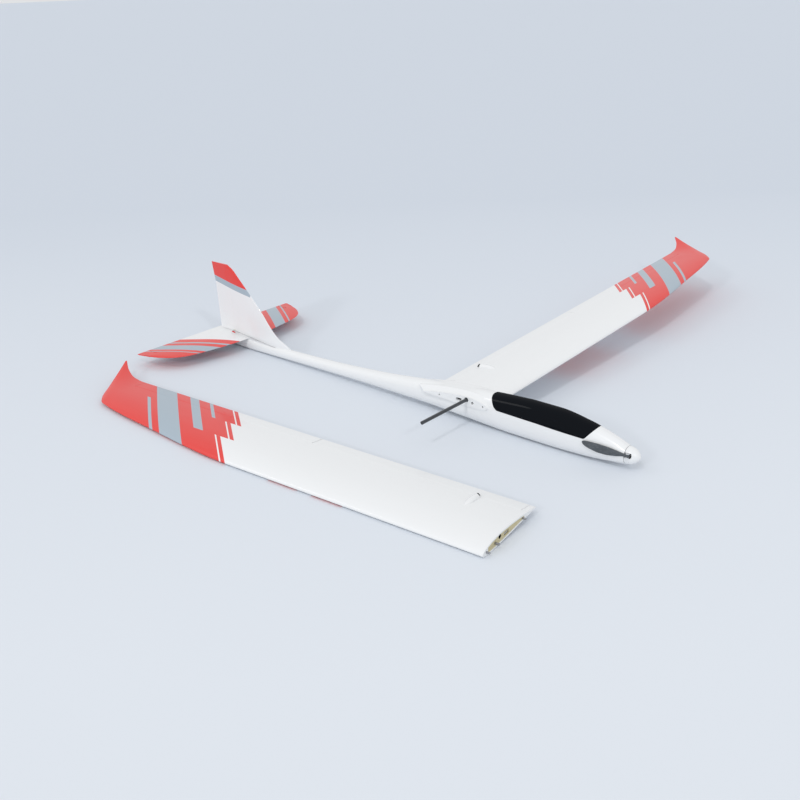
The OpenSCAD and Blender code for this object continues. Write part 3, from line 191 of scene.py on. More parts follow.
# ------------------------------------------------------------------ meshes
class Cut(Enum):
    """How a second solid changes a first one."""

    ADD = "UNION"
    TAKE = "DIFFERENCE"
    KEEP = "INTERSECT"


class Solid:
    """A closed solid being made, in millimetres of its own frame."""

    def __init__(self, name: str) -> None:
        """Starts an empty solid."""
        self.name = name
        self.mesh = bmesh.new()

    def points(self, rings: Sequence[Ring], place: Matrix | None) -> list[list[bmesh.types.BMVert]]:
        """Adds the corners of rings, which lie in a frame of their own."""
        put = place or Matrix.Identity(4)
        return [[self.mesh.verts.new(put @ Vector(p)) for p in ring] for ring in rings]

    def band(self, one: list[bmesh.types.BMVert], two: list[bmesh.types.BMVert]) -> None:
        """Adds the faces between two rings of corners."""
        for a, b, c, d in zip(one, two, two[1:] + two[:1], one[1:] + one[:1]):
            self.mesh.faces.new((a, b, c, d))

    def loft(self, rings: Sequence[Ring], place: Matrix | None = None) -> "Solid":
        """Adds a closed skin over rings of equal point counts.

        Args:
            rings: the rings in order.
            place: where the rings' frame lies in the solid's.

        Returns:
            The solid itself.
        """
        rows = self.points(rings, place)
        for a, b in zip(rows, rows[1:]):
            self.band(a, b)
        self.mesh.faces.new(rows[0])
        self.mesh.faces.new(rows[-1][::-1])
        return self

    def prism(self, outline: Flat, low: float, high: float, place: Matrix | None = None) -> "Solid":
        """Adds a straight prism over a flat outline.

        Args:
            outline: points in X and Y.
            low: where the prism starts in Z.
            high: where it ends.
            place: where the outline's frame lies in the solid's.

        Returns:
            The solid itself.
        """
        return self.loft([[(x, y, z) for x, y in outline] for z in (low, high)], place)

    def spun(self, profile: Flat, sides: int, place: Matrix | None = None) -> "Solid":
        """Adds a solid of revolution about Z.

        Args:
            profile: closed outline of (radius, height) away from the axis.
            sides: steps round the axis.
            place: where the axis lies in the solid's frame.

        Returns:
            The solid itself.
        """
        rings = [[(r * c, r * s, z) for r, z in profile] for c, s in circle(1, sides)]
        rows = self.points(rings, place)
        for a, b in zip(rows, rows[1:] + rows[:1]):
            self.band(a, b)
        return self

    def made(self) -> bpy.types.Object:
        """The solid as a Blender object, with its faces turned outwards.

        Returns:
            The solid.
        """
        bmesh.ops.recalc_face_normals(self.mesh, faces=self.mesh.faces[:])
        data = bpy.data.meshes.new(self.name)
        self.mesh.to_mesh(data)
        self.mesh.free()
        made = bpy.data.objects.new(self.name, data)
        bpy.context.scene.collection.objects.link(made)
        return made


def combined(base: bpy.types.Object, tool: Solid, how: Cut) -> None:
    """Changes a solid's mesh by another solid, which is used up.

    Args:
        base: the object that changes.
        tool: the solid added, taken away or kept.
        how: which of these.
    """
    other = tool.made()
    step = base.modifiers.new("step", "BOOLEAN")
    step.solver, step.operation, step.object = "EXACT", how.value, other
    bpy.context.view_layer.update()
    graph = bpy.context.evaluated_depsgraph_get()
    changed = bpy.data.meshes.new_from_object(base.evaluated_get(graph))
    base.modifiers.clear()
    spent = [base.data, other.data]
    base.data = changed
    bpy.data.objects.remove(other)
    for mesh in spent:
        bpy.data.meshes.remove(mesh)


def smoothed_cad() -> bpy.types.NodeTree:
    """Node group that shades a CAD mesh smoothly except across its real edges.

    Returns:
        The group.
    """
    group = bpy.data.node_groups.new("smooth_except_edges", "GeometryNodeTree")
    for way in ("INPUT", "OUTPUT"):
        group.interface.new_socket("Geometry", in_out=way, socket_type="NodeSocketGeometry")
    join, faces, edges, angle, above = (group.nodes.new(kind) for kind in (
        "GeometryNodeMergeByDistance", "GeometryNodeSetShadeSmooth", "GeometryNodeSetShadeSmooth",
        "GeometryNodeInputMeshEdgeAngle", "FunctionNodeCompare",
    ))
    join.inputs["Distance"].default_value = 2e-6
    edges.domain = "EDGE"
    edges.inputs["Shade Smooth"].default_value = False
    above.data_type, above.operation = "FLOAT", "GREATER_THAN"
    above.inputs[1].default_value = math.radians(32)
    chain = (group.nodes.new("NodeGroupInput"), join, faces, edges, group.nodes.new("NodeGroupOutput"))
    for a, b in zip(chain, chain[1:]):
        group.links.new(a.outputs[0], b.inputs[0])
    group.links.new(angle.outputs["Unsigned Angle"], above.inputs[0])
    group.links.new(above.outputs[0], edges.inputs["Selection"])
    return group


# ------------------------------------------------------------------ shaders
class Wire:
    """One socket of a shader, with Python's operators for its maths."""

    def __init__(self, sheet: "Sheet", socket: bpy.types.NodeSocket) -> None:
        """Wraps a socket of a sheet."""
        self.sheet = sheet
        self.socket = socket

    def maths(self, operation: str, *values: Any) -> "Wire":
        """A Math node over some values."""
        return self.sheet.node("ShaderNodeMath", {"operation": operation}, values)

    def __add__(self, other: Any) -> "Wire":
        """Sum."""
        return self.maths("ADD", self, other)

    __radd__ = __add__

    def __sub__(self, other: Any) -> "Wire":
        """Difference."""
        return self.maths("SUBTRACT", self, other)

    def __rsub__(self, other: Any) -> "Wire":
        """Difference from a number."""
        return self.maths("SUBTRACT", other, self)

    def __mul__(self, other: Any) -> "Wire":
        """Product."""
        return self.maths("MULTIPLY", self, other)

    __rmul__ = __mul__

    def __truediv__(self, other: Any) -> "Wire":
        """Quotient."""
        return self.maths("DIVIDE", self, other)

    def __abs__(self) -> "Wire":
        """Size without sign."""
        return self.maths("ABSOLUTE", self)

    def __and__(self, other: Any) -> "Wire":
        """The smaller: where both masks hold."""
        return self.maths("MINIMUM", self, other)

    def __or__(self, other: Any) -> "Wire":
        """The greater: where either mask holds."""
        return self.maths("MAXIMUM", self, other)

    def wave(self) -> "Wire":
        """Sine of the value."""
        return self.maths("SINE", self)

    def past(self, edge: Any, soft: float) -> "Wire":
        """Mask that rises from 0 to 1 where the value passes an edge over a soft width."""
        return self.sheet.node("ShaderNodeClamp", {}, {"Value": (self - edge) / soft + 0.5})

    def between(self, low: Any, high: Any, soft: float) -> "Wire":
        """Mask of the values from low to high."""
        return self.past(low, soft) & (1 - self.past(high, soft))


class Sheet:
    """The shader of one finish."""

    def __init__(self, name: str) -> None:
        """Starts a material with its main shader node.

        Args:
            name: the name of what is made.
        """
        self.material = bpy.data.materials.new(name)
        self.material.use_nodes = True
        self.tree = self.material.node_tree
        self.tree.nodes.clear()
        self.main = self.tree.nodes.new("ShaderNodeBsdfPrincipled")
        output = self.tree.nodes.new("ShaderNodeOutputMaterial")
        self.tree.links.new(self.main.outputs["BSDF"], output.inputs["Surface"])

    def put(self, socket: bpy.types.NodeSocket, value: Any) -> None:
        """Links or sets one input.

        Args:
            socket: the input.
            value: a wire to link, or what the input is set to.
        """
        if isinstance(value, Wire):
            self.tree.links.new(value.socket, socket)
        else:
            socket.default_value = value

    def node(self, kind: str, settings: dict[str, Any], inputs: Any = (), output: Any = 0) -> Wire:
        """Adds a node.

        Args:
            kind: the node's type.
            settings: its own settings; "stops" holds a ramp's (place, colour) pairs.
            inputs: values or wires, in order or by socket name.
            output: index or name of the output that is wanted.

        Returns:
            The output as a wire.
        """
        made = self.tree.nodes.new(kind)
        for key, value in settings.items():
            if key == "stops":
                ramp = made.color_ramp.elements
                while len(ramp) < len(value):
                    ramp.new(0.5)
                for stop, (place, colour) in zip(ramp, value):
                    stop.position, stop.color = place, (*colour, 1)
            else:
                setattr(made, key, value)
        pairs = inputs.items() if isinstance(inputs, dict) else enumerate(inputs)
        for key, value in pairs:
            self.put(made.inputs[key], value)
        return Wire(self, made.outputs[output])

    def place(self) -> Wire:
        """Position on the piece, in metres of its own frame."""
        return self.node("ShaderNodeTexCoord", {}, (), "Object")

    def split(self, vector: Wire) -> list[Wire]:
        """The three numbers of a vector."""
        first = self.node("ShaderNodeSeparateXYZ", {}, [vector])
        return [Wire(self, out) for out in first.socket.node.outputs]

    def vector(self, operation: str, *values: Any) -> Wire:
        """A Vector Math node."""
        return self.node("ShaderNodeVectorMath", {"operation": operation}, values)

    def noise(self, scale: float, detail: float = 2.0, stretch: Colour = (1, 1, 1)) -> Wire:
        """Noise over the piece.

        Args:
            scale: how many features lie in a metre.
            detail: octaves.
            stretch: factors on the three coordinates.

        Returns:
            A value about one half.
        """
        where = self.vector("MULTIPLY", self.place(), stretch)
        return self.node("ShaderNodeTexNoise", {}, {"Vector": where, "Scale": scale, "Detail": detail})

    def mix(self, mask: Any, first: Any, second: Any) -> Wire:
        """Colour between two with a mask.

        Args:
            mask: 0 for the first colour, 1 for the second.
            first: a colour or a wire.
            second: the other.

        Returns:
            The colour.
        """
        ends = [(*c, 1) if isinstance(c, tuple) else c for c in (first, second)]
        settings = {"data_type": "RGBA", "clamp_factor": True}
        return self.node("ShaderNodeMix", settings, {0: mask, 6: ends[0], 7: ends[1]}, 2)

    def bump(self, height: Wire, strength: float, distance: float) -> Wire:
        """A normal from a height."""
        return self.node("ShaderNodeBump", {}, {"Height": height, "Strength": strength, "Distance": distance})

    def dress(self, **values: Any) -> bpy.types.Material:
        """Sets inputs of the main shader.

        Args:
            values: what each input gets, by its name with underscores for spaces.

        Returns:
            The material.
        """
        for key, value in values.items():
            whole = (*value, 1) if isinstance(value, tuple) and len(value) == 3 else value
            self.put(self.main.inputs[key.replace("_", " ")], whole)
        return self.material


def from_screen(*screen: int) -> Colour:
    """A colour that renders as these screen values under even light.

    Args:
        screen: red, green and blue from 0 to 255.

    Returns:
        The colour in linear light.
    """
    shares = (value / 255 for value in screen)
    return tuple(c / 12.92 if c <= 0.04045 else ((c + 0.055) / 1.055) ** 2.4 for c in shares)


def shaded(colour: Colour, share: float, lift: float = 0.0) -> Colour:
    """A colour made darker by a share, then lifted."""
    return tuple(share * c + lift for c in colour)


WHITE = from_screen(238, 239, 240)
RED = from_screen(229, 52, 44)
SILVER = from_screen(166, 181, 193)
INK = from_screen(14, 17, 22)


@dataclass(frozen=True)
class Finish:
    """A finish that any piece can take."""

    name: str

    def painted(self) -> bpy.types.Material:
        """The finish as a material, made once."""
        name = f"{self.name}_finish"
        return bpy.data.materials.get(name) or self.brush(Sheet(name))

    def brush(self, sheet: Sheet) -> bpy.types.Material:
        """Fills in the shader."""
        raise NotImplementedError


@dataclass(frozen=True)
class Gelcoat(Finish):
    """Glossy moulded skin with a faint seam where the mould's halves met."""

    colour: Colour = WHITE
    seam: bool = True
    roughness: float = 0.2
    specular: float = 0.5
    coat: float = 0.35
    coat_roughness: float = 0.06

    def brush(self, sheet: Sheet) -> bpy.types.Material:
        """Fills in the shader.

        Args:
            sheet: the sheet to fill in.

        Returns:
            The material.
        """
        peel = sheet.noise(420, 1.5)
        cloud = sheet.noise(9, 2)
        height = peel * 0.25
        tone = sheet.mix(cloud, shaded(self.colour, 0.975), self.colour)
        if self.seam:
            across = abs(sheet.split(sheet.place())[1])
            line = 1 - across.past(0.00035, 0.0004)
            height = height + line
            tone = sheet.mix(line * 0.12, tone, shaded(self.colour, 0.7))
        return sheet.dress(
            Base_Color=tone,
            Roughness=self.roughness + cloud * 0.05,
            Specular_IOR_Level=self.specular,
            Coat_Weight=self.coat,
            Coat_Roughness=self.coat_roughness,
            Normal=sheet.bump(height, 0.12, 0.0002),
        )


@dataclass(frozen=True)
class Film(Finish):
    """Iron-on covering over sheeted balsa: satin gloss, a faint grain and small slack spots."""

    def scheme(self, sheet: Sheet) -> Any:
        """Colour over the piece."""
        return WHITE

    def brush(self, sheet: Sheet) -> bpy.types.Material:
        """Fills in the shader.

        Args:
            sheet: the sheet to fill in.

        Returns:
            The material.
        """
        grain = sheet.noise(60, 3, (1, 0.12, 1))
        slack = sheet.noise(14, 2)
        fleck = sheet.noise(700, 1)
        colour = self.scheme(sheet)
        colour = sheet.mix(grain * 0.035, colour, (0.55, 0.53, 0.5))
        return sheet.dress(
            Base_Color=colour,
            Roughness=0.3 + slack * 0.08,
            Coat_Weight=0.25,
            Coat_Roughness=0.12,
            Normal=sheet.bump(slack + grain * 0.3 + fleck * 0.08, 0.1, 0.0008),
        )


@dataclass(frozen=True)
class WingFilm(Film):
    """Covering of a wing panel: white inboard, red outboard, with slanted silver bars.

    The piece's own frame has X forward from the leading edge and Y along the span.
    """

    rake: float = 1.22
    edge: float = 612
    stagger: float = 44
    underside: bool = False

    def scheme(self, sheet: Sheet) -> Any:
        """Colour over the piece.

        Args:
            sheet: the sheet to fill in.

        Returns:
            The colour.
        """
        x, y, _ = sheet.split(sheet.place())
        back = x * -1000
        out = abs(y * 1000)
        slant = out - back * self.rake
        soft = 0.7
        fore, aft = back.past(64, 0.4), back.past(126, 0.4)
        inner = self.edge + self.stagger - fore * self.stagger - aft * self.stagger * 0.8
        red = slant.past(inner, soft)
        colour = sheet.mix(red, WHITE, RED)
        if self.underside:
            bars = out.between(330, 410, soft) | out.between(450, 530, soft)
            return sheet.mix(bars, colour, RED)
        pin = slant.between(inner + 13, inner + 18, soft)
        silver = (
            (slant.between(712, 744, soft) & fore)
            | slant.between(792, 868, soft)
            | (slant.between(892, 904, soft) & (1 - aft))
            | (slant.between(662, 674, soft) & aft)
        )
        colour = sheet.mix(silver, colour, SILVER)
        return sheet.mix(pin, colour, WHITE)


@dataclass(frozen=True)
class TailFilm(Film):
    """Covering of the stabilizer: white middle, red tips, slanted silver bars."""

    lead: float = -955.0
    rake: float = 0.62

    def scheme(self, sheet: Sheet) -> Any:
        """Colour over the piece.

        Args:
            sheet: the sheet to fill in.

        Returns:
            The colour.
        """
        x, y, _ = sheet.split(sheet.place())
        back = x * -1000 + self.lead
        out = abs(y * 1000)
        slant = out - back * self.rake
        soft = 0.6
        red = slant.past(36, soft)
        silver = slant.between(66, 76, soft) | slant.between(96, 136, soft) | slant.between(150, 155, soft)
        colour = sheet.mix(red, WHITE, RED)
        return sheet.mix(silver, colour, SILVER)


@dataclass(frozen=True)
class FinPaint(Gelcoat):
    """Moulded skin whose fin carries a red top over a silver band."""

    red_z: float = 0.1945
    band: float = 0.0165
    fall: float = 0.16
    post_x: float = -1.088
    reach: float = 0.15

    def brush(self, sheet: Sheet) -> bpy.types.Material:
        """Fills in the shader.

        Args:
            sheet: the sheet to fill in.

        Returns:
            The material.
        """
        material = super().brush(sheet)
        x, _, z = sheet.split(sheet.place())
        ahead = x - self.post_x
        level = z + ahead * self.fall
        soft = 0.0006
        fin = 1 - ahead.past(self.reach, soft)
        socket = sheet.main.inputs["Base Color"]
        plain = Wire(sheet, socket.links[0].from_socket)
        tinted = sheet.mix(fin & level.past(self.red_z - self.band, soft), plain, SILVER)
        sheet.put(socket, sheet.mix(fin & level.past(self.red_z, soft), tinted, RED))
        return material


@dataclass(frozen=True)
class CarbonTube(Finish):
    """Wrapped carbon: fine crossing bands under a satin resin."""

    along: int = 1
    pitch: float = 0.0022

    def brush(self, sheet: Sheet) -> bpy.types.Material:
        """Fills in the shader.

        Args:
            sheet: the sheet to fill in.

        Returns:
            The material.
        """
        axes = list(sheet.split(sheet.place()))
        run = axes.pop(self.along)
        rate = 2 * math.pi / self.pitch
        one = ((run + axes[0] + axes[1]) * rate).wave()
        two = ((run - axes[0] - axes[1]) * rate).wave()
        weave = (one * two) * 0.5 + 0.5
        return sheet.dress(
            Base_Color=sheet.mix(weave, from_screen(34, 37, 42), from_screen(58, 62, 68)),
            Roughness=0.38 - weave * 0.1,
            Coat_Weight=0.3,
            Coat_Roughness=0.2,
            Normal=sheet.bump(weave, 0.15, 0.0001),
        )


@dataclass(frozen=True)
class BladeFibre(Finish):
    """Glass-filled moulding of the propeller: dark grey with short bright fibres."""

    def brush(self, sheet: Sheet) -> bpy.types.Material:
        """Fills in the shader.

        Args:
            sheet: the sheet to fill in.

        Returns:
            The material.
        """
        fibre = sheet.noise(900, 2, (0.15, 1, 1)).past(0.6, 0.12)
        cloud = sheet.noise(40, 2)
        base = sheet.mix(cloud, from_screen(66, 71, 76), from_screen(84, 89, 94))
        return sheet.dress(
            Base_Color=sheet.mix(fibre * 0.35, base, from_screen(126, 131, 136)),
            Roughness=0.42 + cloud * 0.08,
            Specular_IOR_Level=0.45,
            Normal=sheet.bump(fibre, 0.08, 0.0001),
        )


@dataclass(frozen=True)
class Plywood(Finish):
    """Birch plywood, with its grain along one way and its plies across another."""

    grain: Colour = (0.08, 1, 1)
    plies: int = 2
    dark: Colour = from_screen(182, 146, 98)
    pale: Colour = from_screen(222, 192, 146)

    def brush(self, sheet: Sheet) -> bpy.types.Material:
        """Fills in the shader.

        Args:
            sheet: the sheet to fill in.

        Returns:
            The material.
        """
        fibre = sheet.noise(260, 4, self.grain)
        cloud = sheet.noise(24, 2, self.grain)
        ply = (sheet.split(sheet.place())[self.plies] * (2 * math.pi / 0.0012)).wave().past(0, 0.8)
        base = sheet.mix(fibre, self.dark, self.pale)
        base = sheet.mix(cloud * 0.4, base, self.dark)
        return sheet.dress(
            Base_Color=sheet.mix(ply * 0.25, base, shaded(self.dark, 0.45)),
            Roughness=0.62 + fibre * 0.15,
            Normal=sheet.bump(fibre, 0.25, 0.0003),
        )


@dataclass(frozen=True)
class Metal(Finish):
    """Turned or drawn metal with fine tool marks."""

    colour: Colour = (0.6, 0.6, 0.62)
    roughness: float = 0.28
    marks: Colour = (1, 0.05, 1)

    def brush(self, sheet: Sheet) -> bpy.types.Material:
        """Fills in the shader.

        Args:
            sheet: the sheet to fill in.

        Returns:
            The material.
        """
        lines = sheet.noise(1600, 2, self.marks)
        stain = sheet.noise(60, 3)
        return sheet.dress(
            Base_Color=sheet.mix(stain * 0.5, self.colour, shaded(self.colour, 0.8)),
            Metallic=1.0,
            Roughness=self.roughness + lines * 0.12,
            Normal=sheet.bump(lines, 0.08, 0.0001),
        )


@dataclass(frozen=True)
class Moulding(Finish):
    """Moulded plastic with a fine texture."""

    colour: Colour = (0.1, 0.1, 0.1)
    roughness: float = 0.45
    texture: float = 1500

    def brush(self, sheet: Sheet) -> bpy.types.Material:
        """Fills in the shader.

        Args:
            sheet: the sheet to fill in.

        Returns:
            The material.
        """
        pebble = sheet.noise(self.texture, 2)
        cloud = sheet.noise(30, 2)
        return sheet.dress(
            Base_Color=sheet.mix(cloud * 0.3, self.colour, shaded(self.colour, 0.8, 0.01)),
            Roughness=self.roughness + pebble * 0.1,
            Normal=sheet.bump(pebble, 0.12, 0.0001),
        )


@dataclass(frozen=True)
class Glassboard(Finish):
    """Woven glass sheet for horns and arms."""

    def brush(self, sheet: Sheet) -> bpy.types.Material:
        """Fills in the shader.

        Args:
            sheet: the sheet to fill in.

        Returns:
            The material.
        """
        x, y, z = sheet.split(sheet.place())
        rate = 2 * math.pi / 0.0009
        weave = ((x + z) * rate).wave() * ((y + z) * rate).wave() * 0.5 + 0.5
        return sheet.dress(
            Base_Color=sheet.mix(weave, from_screen(214, 214, 196), from_screen(232, 232, 220)),
            Roughness=0.4 + weave * 0.1,
            Coat_Weight=0.2,
            Normal=sheet.bump(weave, 0.15, 0.0001),
        )


@dataclass(frozen=True)
class ShrinkWrap(Finish):
    """Shrunk film round the battery, drawn into soft creases."""

    colour: Colour = from_screen(38, 74, 150)

    def brush(self, sheet: Sheet) -> bpy.types.Material:
        """Fills in the shader.

        Args:
            sheet: the sheet to fill in.

        Returns:
            The material.
        """
        crease = sheet.noise(70, 4, (0.4, 1, 1))
        x = sheet.split(sheet.place())[0]
        label = x.between(0.048, 0.118, 0.0005)
        colour = sheet.mix(label, self.colour, from_screen(206, 210, 214))
        return sheet.dress(
            Base_Color=sheet.mix(crease * 0.3, colour, shaded(self.colour, 0.5)),
            Roughness=0.22 + crease * 0.15,
            Normal=sheet.bump(crease, 0.4, 0.0006),
        )


@dataclass(frozen=True)
class Webbing(Finish):
    """Woven hook-and-loop strap."""

    def brush(self, sheet: Sheet) -> bpy.types.Material:
        """Fills in the shader.

        Args:
            sheet: the sheet to fill in.

        Returns:
            The material.
        """
        x, y, z = sheet.split(sheet.place())
        rate = 2 * math.pi / 0.0014
        weave = (x * rate).wave() * ((y + z) * rate).wave() * 0.5 + 0.5
        fuzz = sheet.noise(2200, 2)
        return sheet.dress(
            Base_Color=sheet.mix(weave, from_screen(18, 18, 20), from_screen(44, 44, 48)),
            Roughness=0.8 + fuzz * 0.15,
            Normal=sheet.bump(weave + fuzz * 0.6, 0.5, 0.0003),
        )


@dataclass(frozen=True)
class StudioPaper(Finish):
    """The plain pale floor, with a painted falloff of light that makes it darker far away."""

    near: Colour = from_screen(226, 231, 238)
    far: Colour = from_screen(208, 215, 225)

    def brush(self, sheet: Sheet) -> bpy.types.Material:
        """Fills in the shader.

        Args:
            sheet: the sheet to fill in.

        Returns:
            The material.
        """
        x, y, _ = sheet.split(sheet.place())
        # Painted falloff of light: the floor's colour goes from the near colour to the darker far colour with
        # distance from the camera.
        away = (y * 0.74 - x * 0.67 + 0.6) / 3.2
        tooth = sheet.noise(300, 2)
        cloud = sheet.noise(0.9, 1)
        mask = sheet.node("ShaderNodeClamp", {}, {"Value": away + cloud * 0.1})
        return sheet.dress(
            Base_Color=sheet.mix(mask, self.near, self.far),
            Roughness=0.75 + tooth * 0.1,
            Specular_IOR_Level=0.2,
            Normal=sheet.bump(tooth, 0.02, 0.0005),
        )


# ------------------------------------------------------------------ the piece book
class Workshop:
    """Puts pieces in place, dresses them and reports them."""

    def __init__(self) -> None:
        """Starts with every CAD node still bare."""
        self.bare = set(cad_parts)
        self.smoothing = smoothed_cad()

    def piece(
        self,
        made: bpy.types.Object,
        body: str,
        finish: Finish,
        stands_for: Sequence[str] = (),
        place: Matrix | None = None,
        crease: float = 34.0,
    ) -> None:
        """Finishes a solid as a piece of the model.

        Args:
            made: the solid, in millimetres of its own frame.
            body: the CAD body that it rides on.
            finish: what it is dressed in.
            stands_for: CAD nodes that it replaces.
            place: its frame, with the move in millimetres.
            crease: angle in degrees from which an edge stays sharp.
        """
        data = made.data
        data.transform(Matrix.Scale(MM, 4))
        data.materials.clear()
        data.materials.append(finish.painted())
        data.shade_smooth()
        data.set_sharp_from_angle(angle=math.radians(crease))
        if place is not None:
            put = place.copy()
            put.translation = place.translation * MM
            made.matrix_world = put
        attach(made, body)
        if stands_for:
            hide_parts(*stands_for)
            self.bare -= set(stands_for)
        log.info("%s on %s: %d faces, %s", made.name, body, len(data.polygons), finish.name)

    def dress(self, finish: Finish, *nodes: str) -> None:
        """Gives CAD nodes a finish and smooth shading.

        Args:
            finish: what they are dressed in.
            nodes: the nodes' names.
        """
        for name in nodes:
            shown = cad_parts[name]
            for place in shown.material_slots:
                place.material = finish.painted()
            if not shown.material_slots:
                shown.data.materials.append(finish.painted())
            step = shown.modifiers.new("smooth", "NODES")
            step.node_group = self.smoothing
            self.bare.discard(name)
            log.info("%s keeps its CAD mesh: %s", name, finish.name)


# ------------------------------------------------------------------ fuselage
REST_S = 259.0


def sx(station: float) -> float:
    """X of a station, which is measured aft from the spinner's tip."""
    return REST_S - station


@dataclass
class Hull:
    """Measures of the moulded fuselage, which others fit to."""

    rows: Rows = Rows((
        (29, 51.5, 12.5, 19.5), (60, 64, 8, 21.8), (124, 80.5, 2.4, 28.5), (200, 90.5, 0, 32),
        (259, 90.4, 0, 32.5), (318, 87.5, 0.3, 32.5), (424, 79, 4.6, 31), (574, 64.5, 9.4, 24.5),
        (724, 48.5, 9.4, 19), (924, 36, 7, 15), (1124, 31, 2.6, 12.5), (1230, 33, 0.2, 11.5),
        (1306, 31.5, 3, 8),
    ))
    squareness: float = 2.25
    around: int = 96
    skin: float = 1.6
    axis_z: float = 32.0
    chin: tuple[float, float] = (119, 51)
    sill: tuple[float, float] = (235, 55.5)
    heel: tuple[float, float] = (342, 57)
    canopy_start: float = 71
    canopy_end: float = 388
    over: float = 109
    corner: float = 9
    nose_s: float = 29
    tail_s: float = 1306

    def ring(self, station: float, inset: float = 0.0) -> Ring:
        """One cross-section, taken in by an inset.

        Args:
            station: where along the fuselage.
            inset: how far inside the outer skin.

        Returns:
            The section's points.
        """
        top, low = self.rows.at(station, 1), self.rows.at(station, 2)
        half, tall, middle = self.rows.at(station, 3), (top - low) / 2, (top + low) / 2
        out: Ring = []
        for i in range(self.around):
            t = 2 * math.pi * i / self.around
            c, s = math.cos(t), math.sin(t)
            y = math.copysign(abs(c) ** (2 / self.squareness), c)
            z = math.copysign(abs(s) ** (2 / self.squareness), s)
            out.append((sx(station), -(half - inset) * y, middle + (tall - inset) * z))
        return out

    def opening(self, gap: float) -> Flat:
        """Side view of the canopy opening, drawn in by a gap.

        Args:
            gap: how far the outline is drawn in.

        Returns:
            The outline.
        """
        corners = [
            (sx(self.chin[0]), self.chin[1]), (sx(self.sill[0]), self.sill[1]),
            (sx(self.heel[0]), self.heel[1]), (sx(self.heel[0] + 9), self.heel[1] + 6),
            (sx(self.canopy_end), self.over), (sx(self.canopy_start), self.over),
        ]
        lines = []
        for i, here in enumerate(corners):
            a, b = Vector(here), Vector(corners[(i + 1) % len(corners)])
            along = (b - a).normalized()
            inward = Vector((along.y, -along.x)) * gap
            lines.append((a + inward, along))
        moved = []
        for i, (p, d) in enumerate(lines):
            q, e = lines[i - 1]
            cross = e.x * d.y - e.y * d.x
            t = ((p.x - q.x) * d.y - (p.y - q.y) * d.x) / cross
            hit = q + e * t
            moved.append((hit.x, hit.y))
        return rounded(moved, self.corner - gap)


# Factors of the four-digit sections' half thickness, on the root and the powers of the chord's share.
THICKNESS = (0.2969, -0.126, -0.3516, 0.2843, -0.1036)


@dataclass
class Section:
    """Measures of a wing panel in its own frame: X forward from the leading edge, Y outboard."""

    length: float = 1148.0
    rake: float = 122.0
    chord: float = 188.0
    sweep: float = 56.0
    camber: float = 0.025
    crest: float = 0.4
    edge: float = 0.4
    rise: float = 18.0
    flap_chord: float = 32.0
    nose_gap: float = 0.6
    rib: float = 3.0
    flap_from: float = 13.0
    flap_to: float = 540.0
    end_gap: float = 1.6
    tip: float = field(init=False)
    hinge_v: float = field(init=False)
    aileron_to: float = field(init=False)
    lead_rows: Rows = field(init=False)
    trail_rows: Rows = field(init=False)
    thick_rows: Rows = field(init=False)

    def __post_init__(self) -> None:
        """Works out what follows from the measures."""
        long, far = self.length, self.rake
        self.tip = long + far
        self.hinge_v = self.chord - self.flap_chord
        self.aileron_to = long - 5
        self.lead_rows = Rows((
            (0, 0), (long * 0.57, 0), (long * 0.82, self.sweep * 0.47), (long, self.sweep),
            (long + far * 0.2, self.sweep + 18), (long + far * 0.43, self.sweep + 60),
            (self.tip, self.chord + 42),
        ))
        self.trail_rows = Rows((
            (0, self.chord), (long, self.chord + 1), (long + far * 0.32, self.chord + 4),
            (long + far * 0.67, self.chord + 20), (self.tip, self.chord + 47),
        ))
        self.thick_rows = Rows(((0, 0.115), (long * 0.57, 0.1104), (long, 0.09), (self.tip, 0.072)))

    def height(self, u: float, v: float, side: int) -> float:
        """Height of a skin.

        Args:
            u: distance from the root.
            v: distance behind the root's leading edge.
            side: 1 for the top skin, -1 for the lower one, 0 for the middle.

        Returns:
            The height over the chord line.
        """
        lead, trail = self.lead_rows.at(u), self.trail_rows.at(u)
        c = trail - lead
        q = min(max((v - lead) / c, 0.0), 1.0)
        m, k = self.camber, self.crest
        line = m / k**2 * (2 * k * q - q * q) if q < k else m / (1 - k) ** 2 * (1 - 2 * k + 2 * k * q - q * q)
        powers = (math.sqrt(q), q, q * q, q**3, q**4)
        half = 5 * self.thick_rows.at(u) * sum(a * b for a, b in zip(THICKNESS, powers))
        start = self.aileron_to
        lift = 0.0 if u < start else self.rise * ((u - start) / (self.tip - start)) ** 2
        return lift + c * (line + side * half) + side * self.edge * q

    def ring(self, u: float, count: int = 30) -> Ring:
        """Whole section at a distance from the root, trailing edge first.

        Args:
            u: distance from the root.
            count: steps from one edge to the other.

        Returns:
            The section's points.
        """
        lead, trail = self.lead_rows.at(u), self.trail_rows.at(u)
        v = [lead + (trail - lead) * (1 - math.cos(math.pi * i / count)) / 2 for i in range(count + 1)]
        top = [(-v[i], u, self.height(u, v[i], 1)) for i in range(count, -1, -1)]
        return top + [(-v[i], u, self.height(u, v[i], -1)) for i in range(1, count + 1)]

    def hinge(self, u: float) -> Point:
        """A point of the hinge line."""
        return (-self.hinge_v, u, self.height(u, self.hinge_v, 0))

    def nose(self, u: float) -> float:
        """Radius of a surface's round nose."""
        return (self.height(u, self.hinge_v, 1) - self.height(u, self.hinge_v, -1)) / 2 - 0.15

    def moving_ring(self, u: float) -> Ring:
        """Section of a flap or aileron: round nose, flat run to the trailing edge.

        Args:
            u: distance from the root.

        Returns:
            The section's points.
        """
        trail = self.trail_rows.at(u)
        run = [self.hinge_v + (trail - self.hinge_v) * q for q in (1, 0.8, 0.6, 0.4, 0.2, 0.04)]
        x, _, z = self.hinge(u)
        r = self.nose(u)
        arc = [math.radians(90 - 180 * i / 16) for i in range(17)]
        top = [(-v, u, self.height(u, v, 1)) for v in run]
        low = [(-v, u, self.height(u, v, -1)) for v in reversed(run)]
        return top + [(x + r * math.cos(a), u, z + r * math.sin(a)) for a in arc] + low


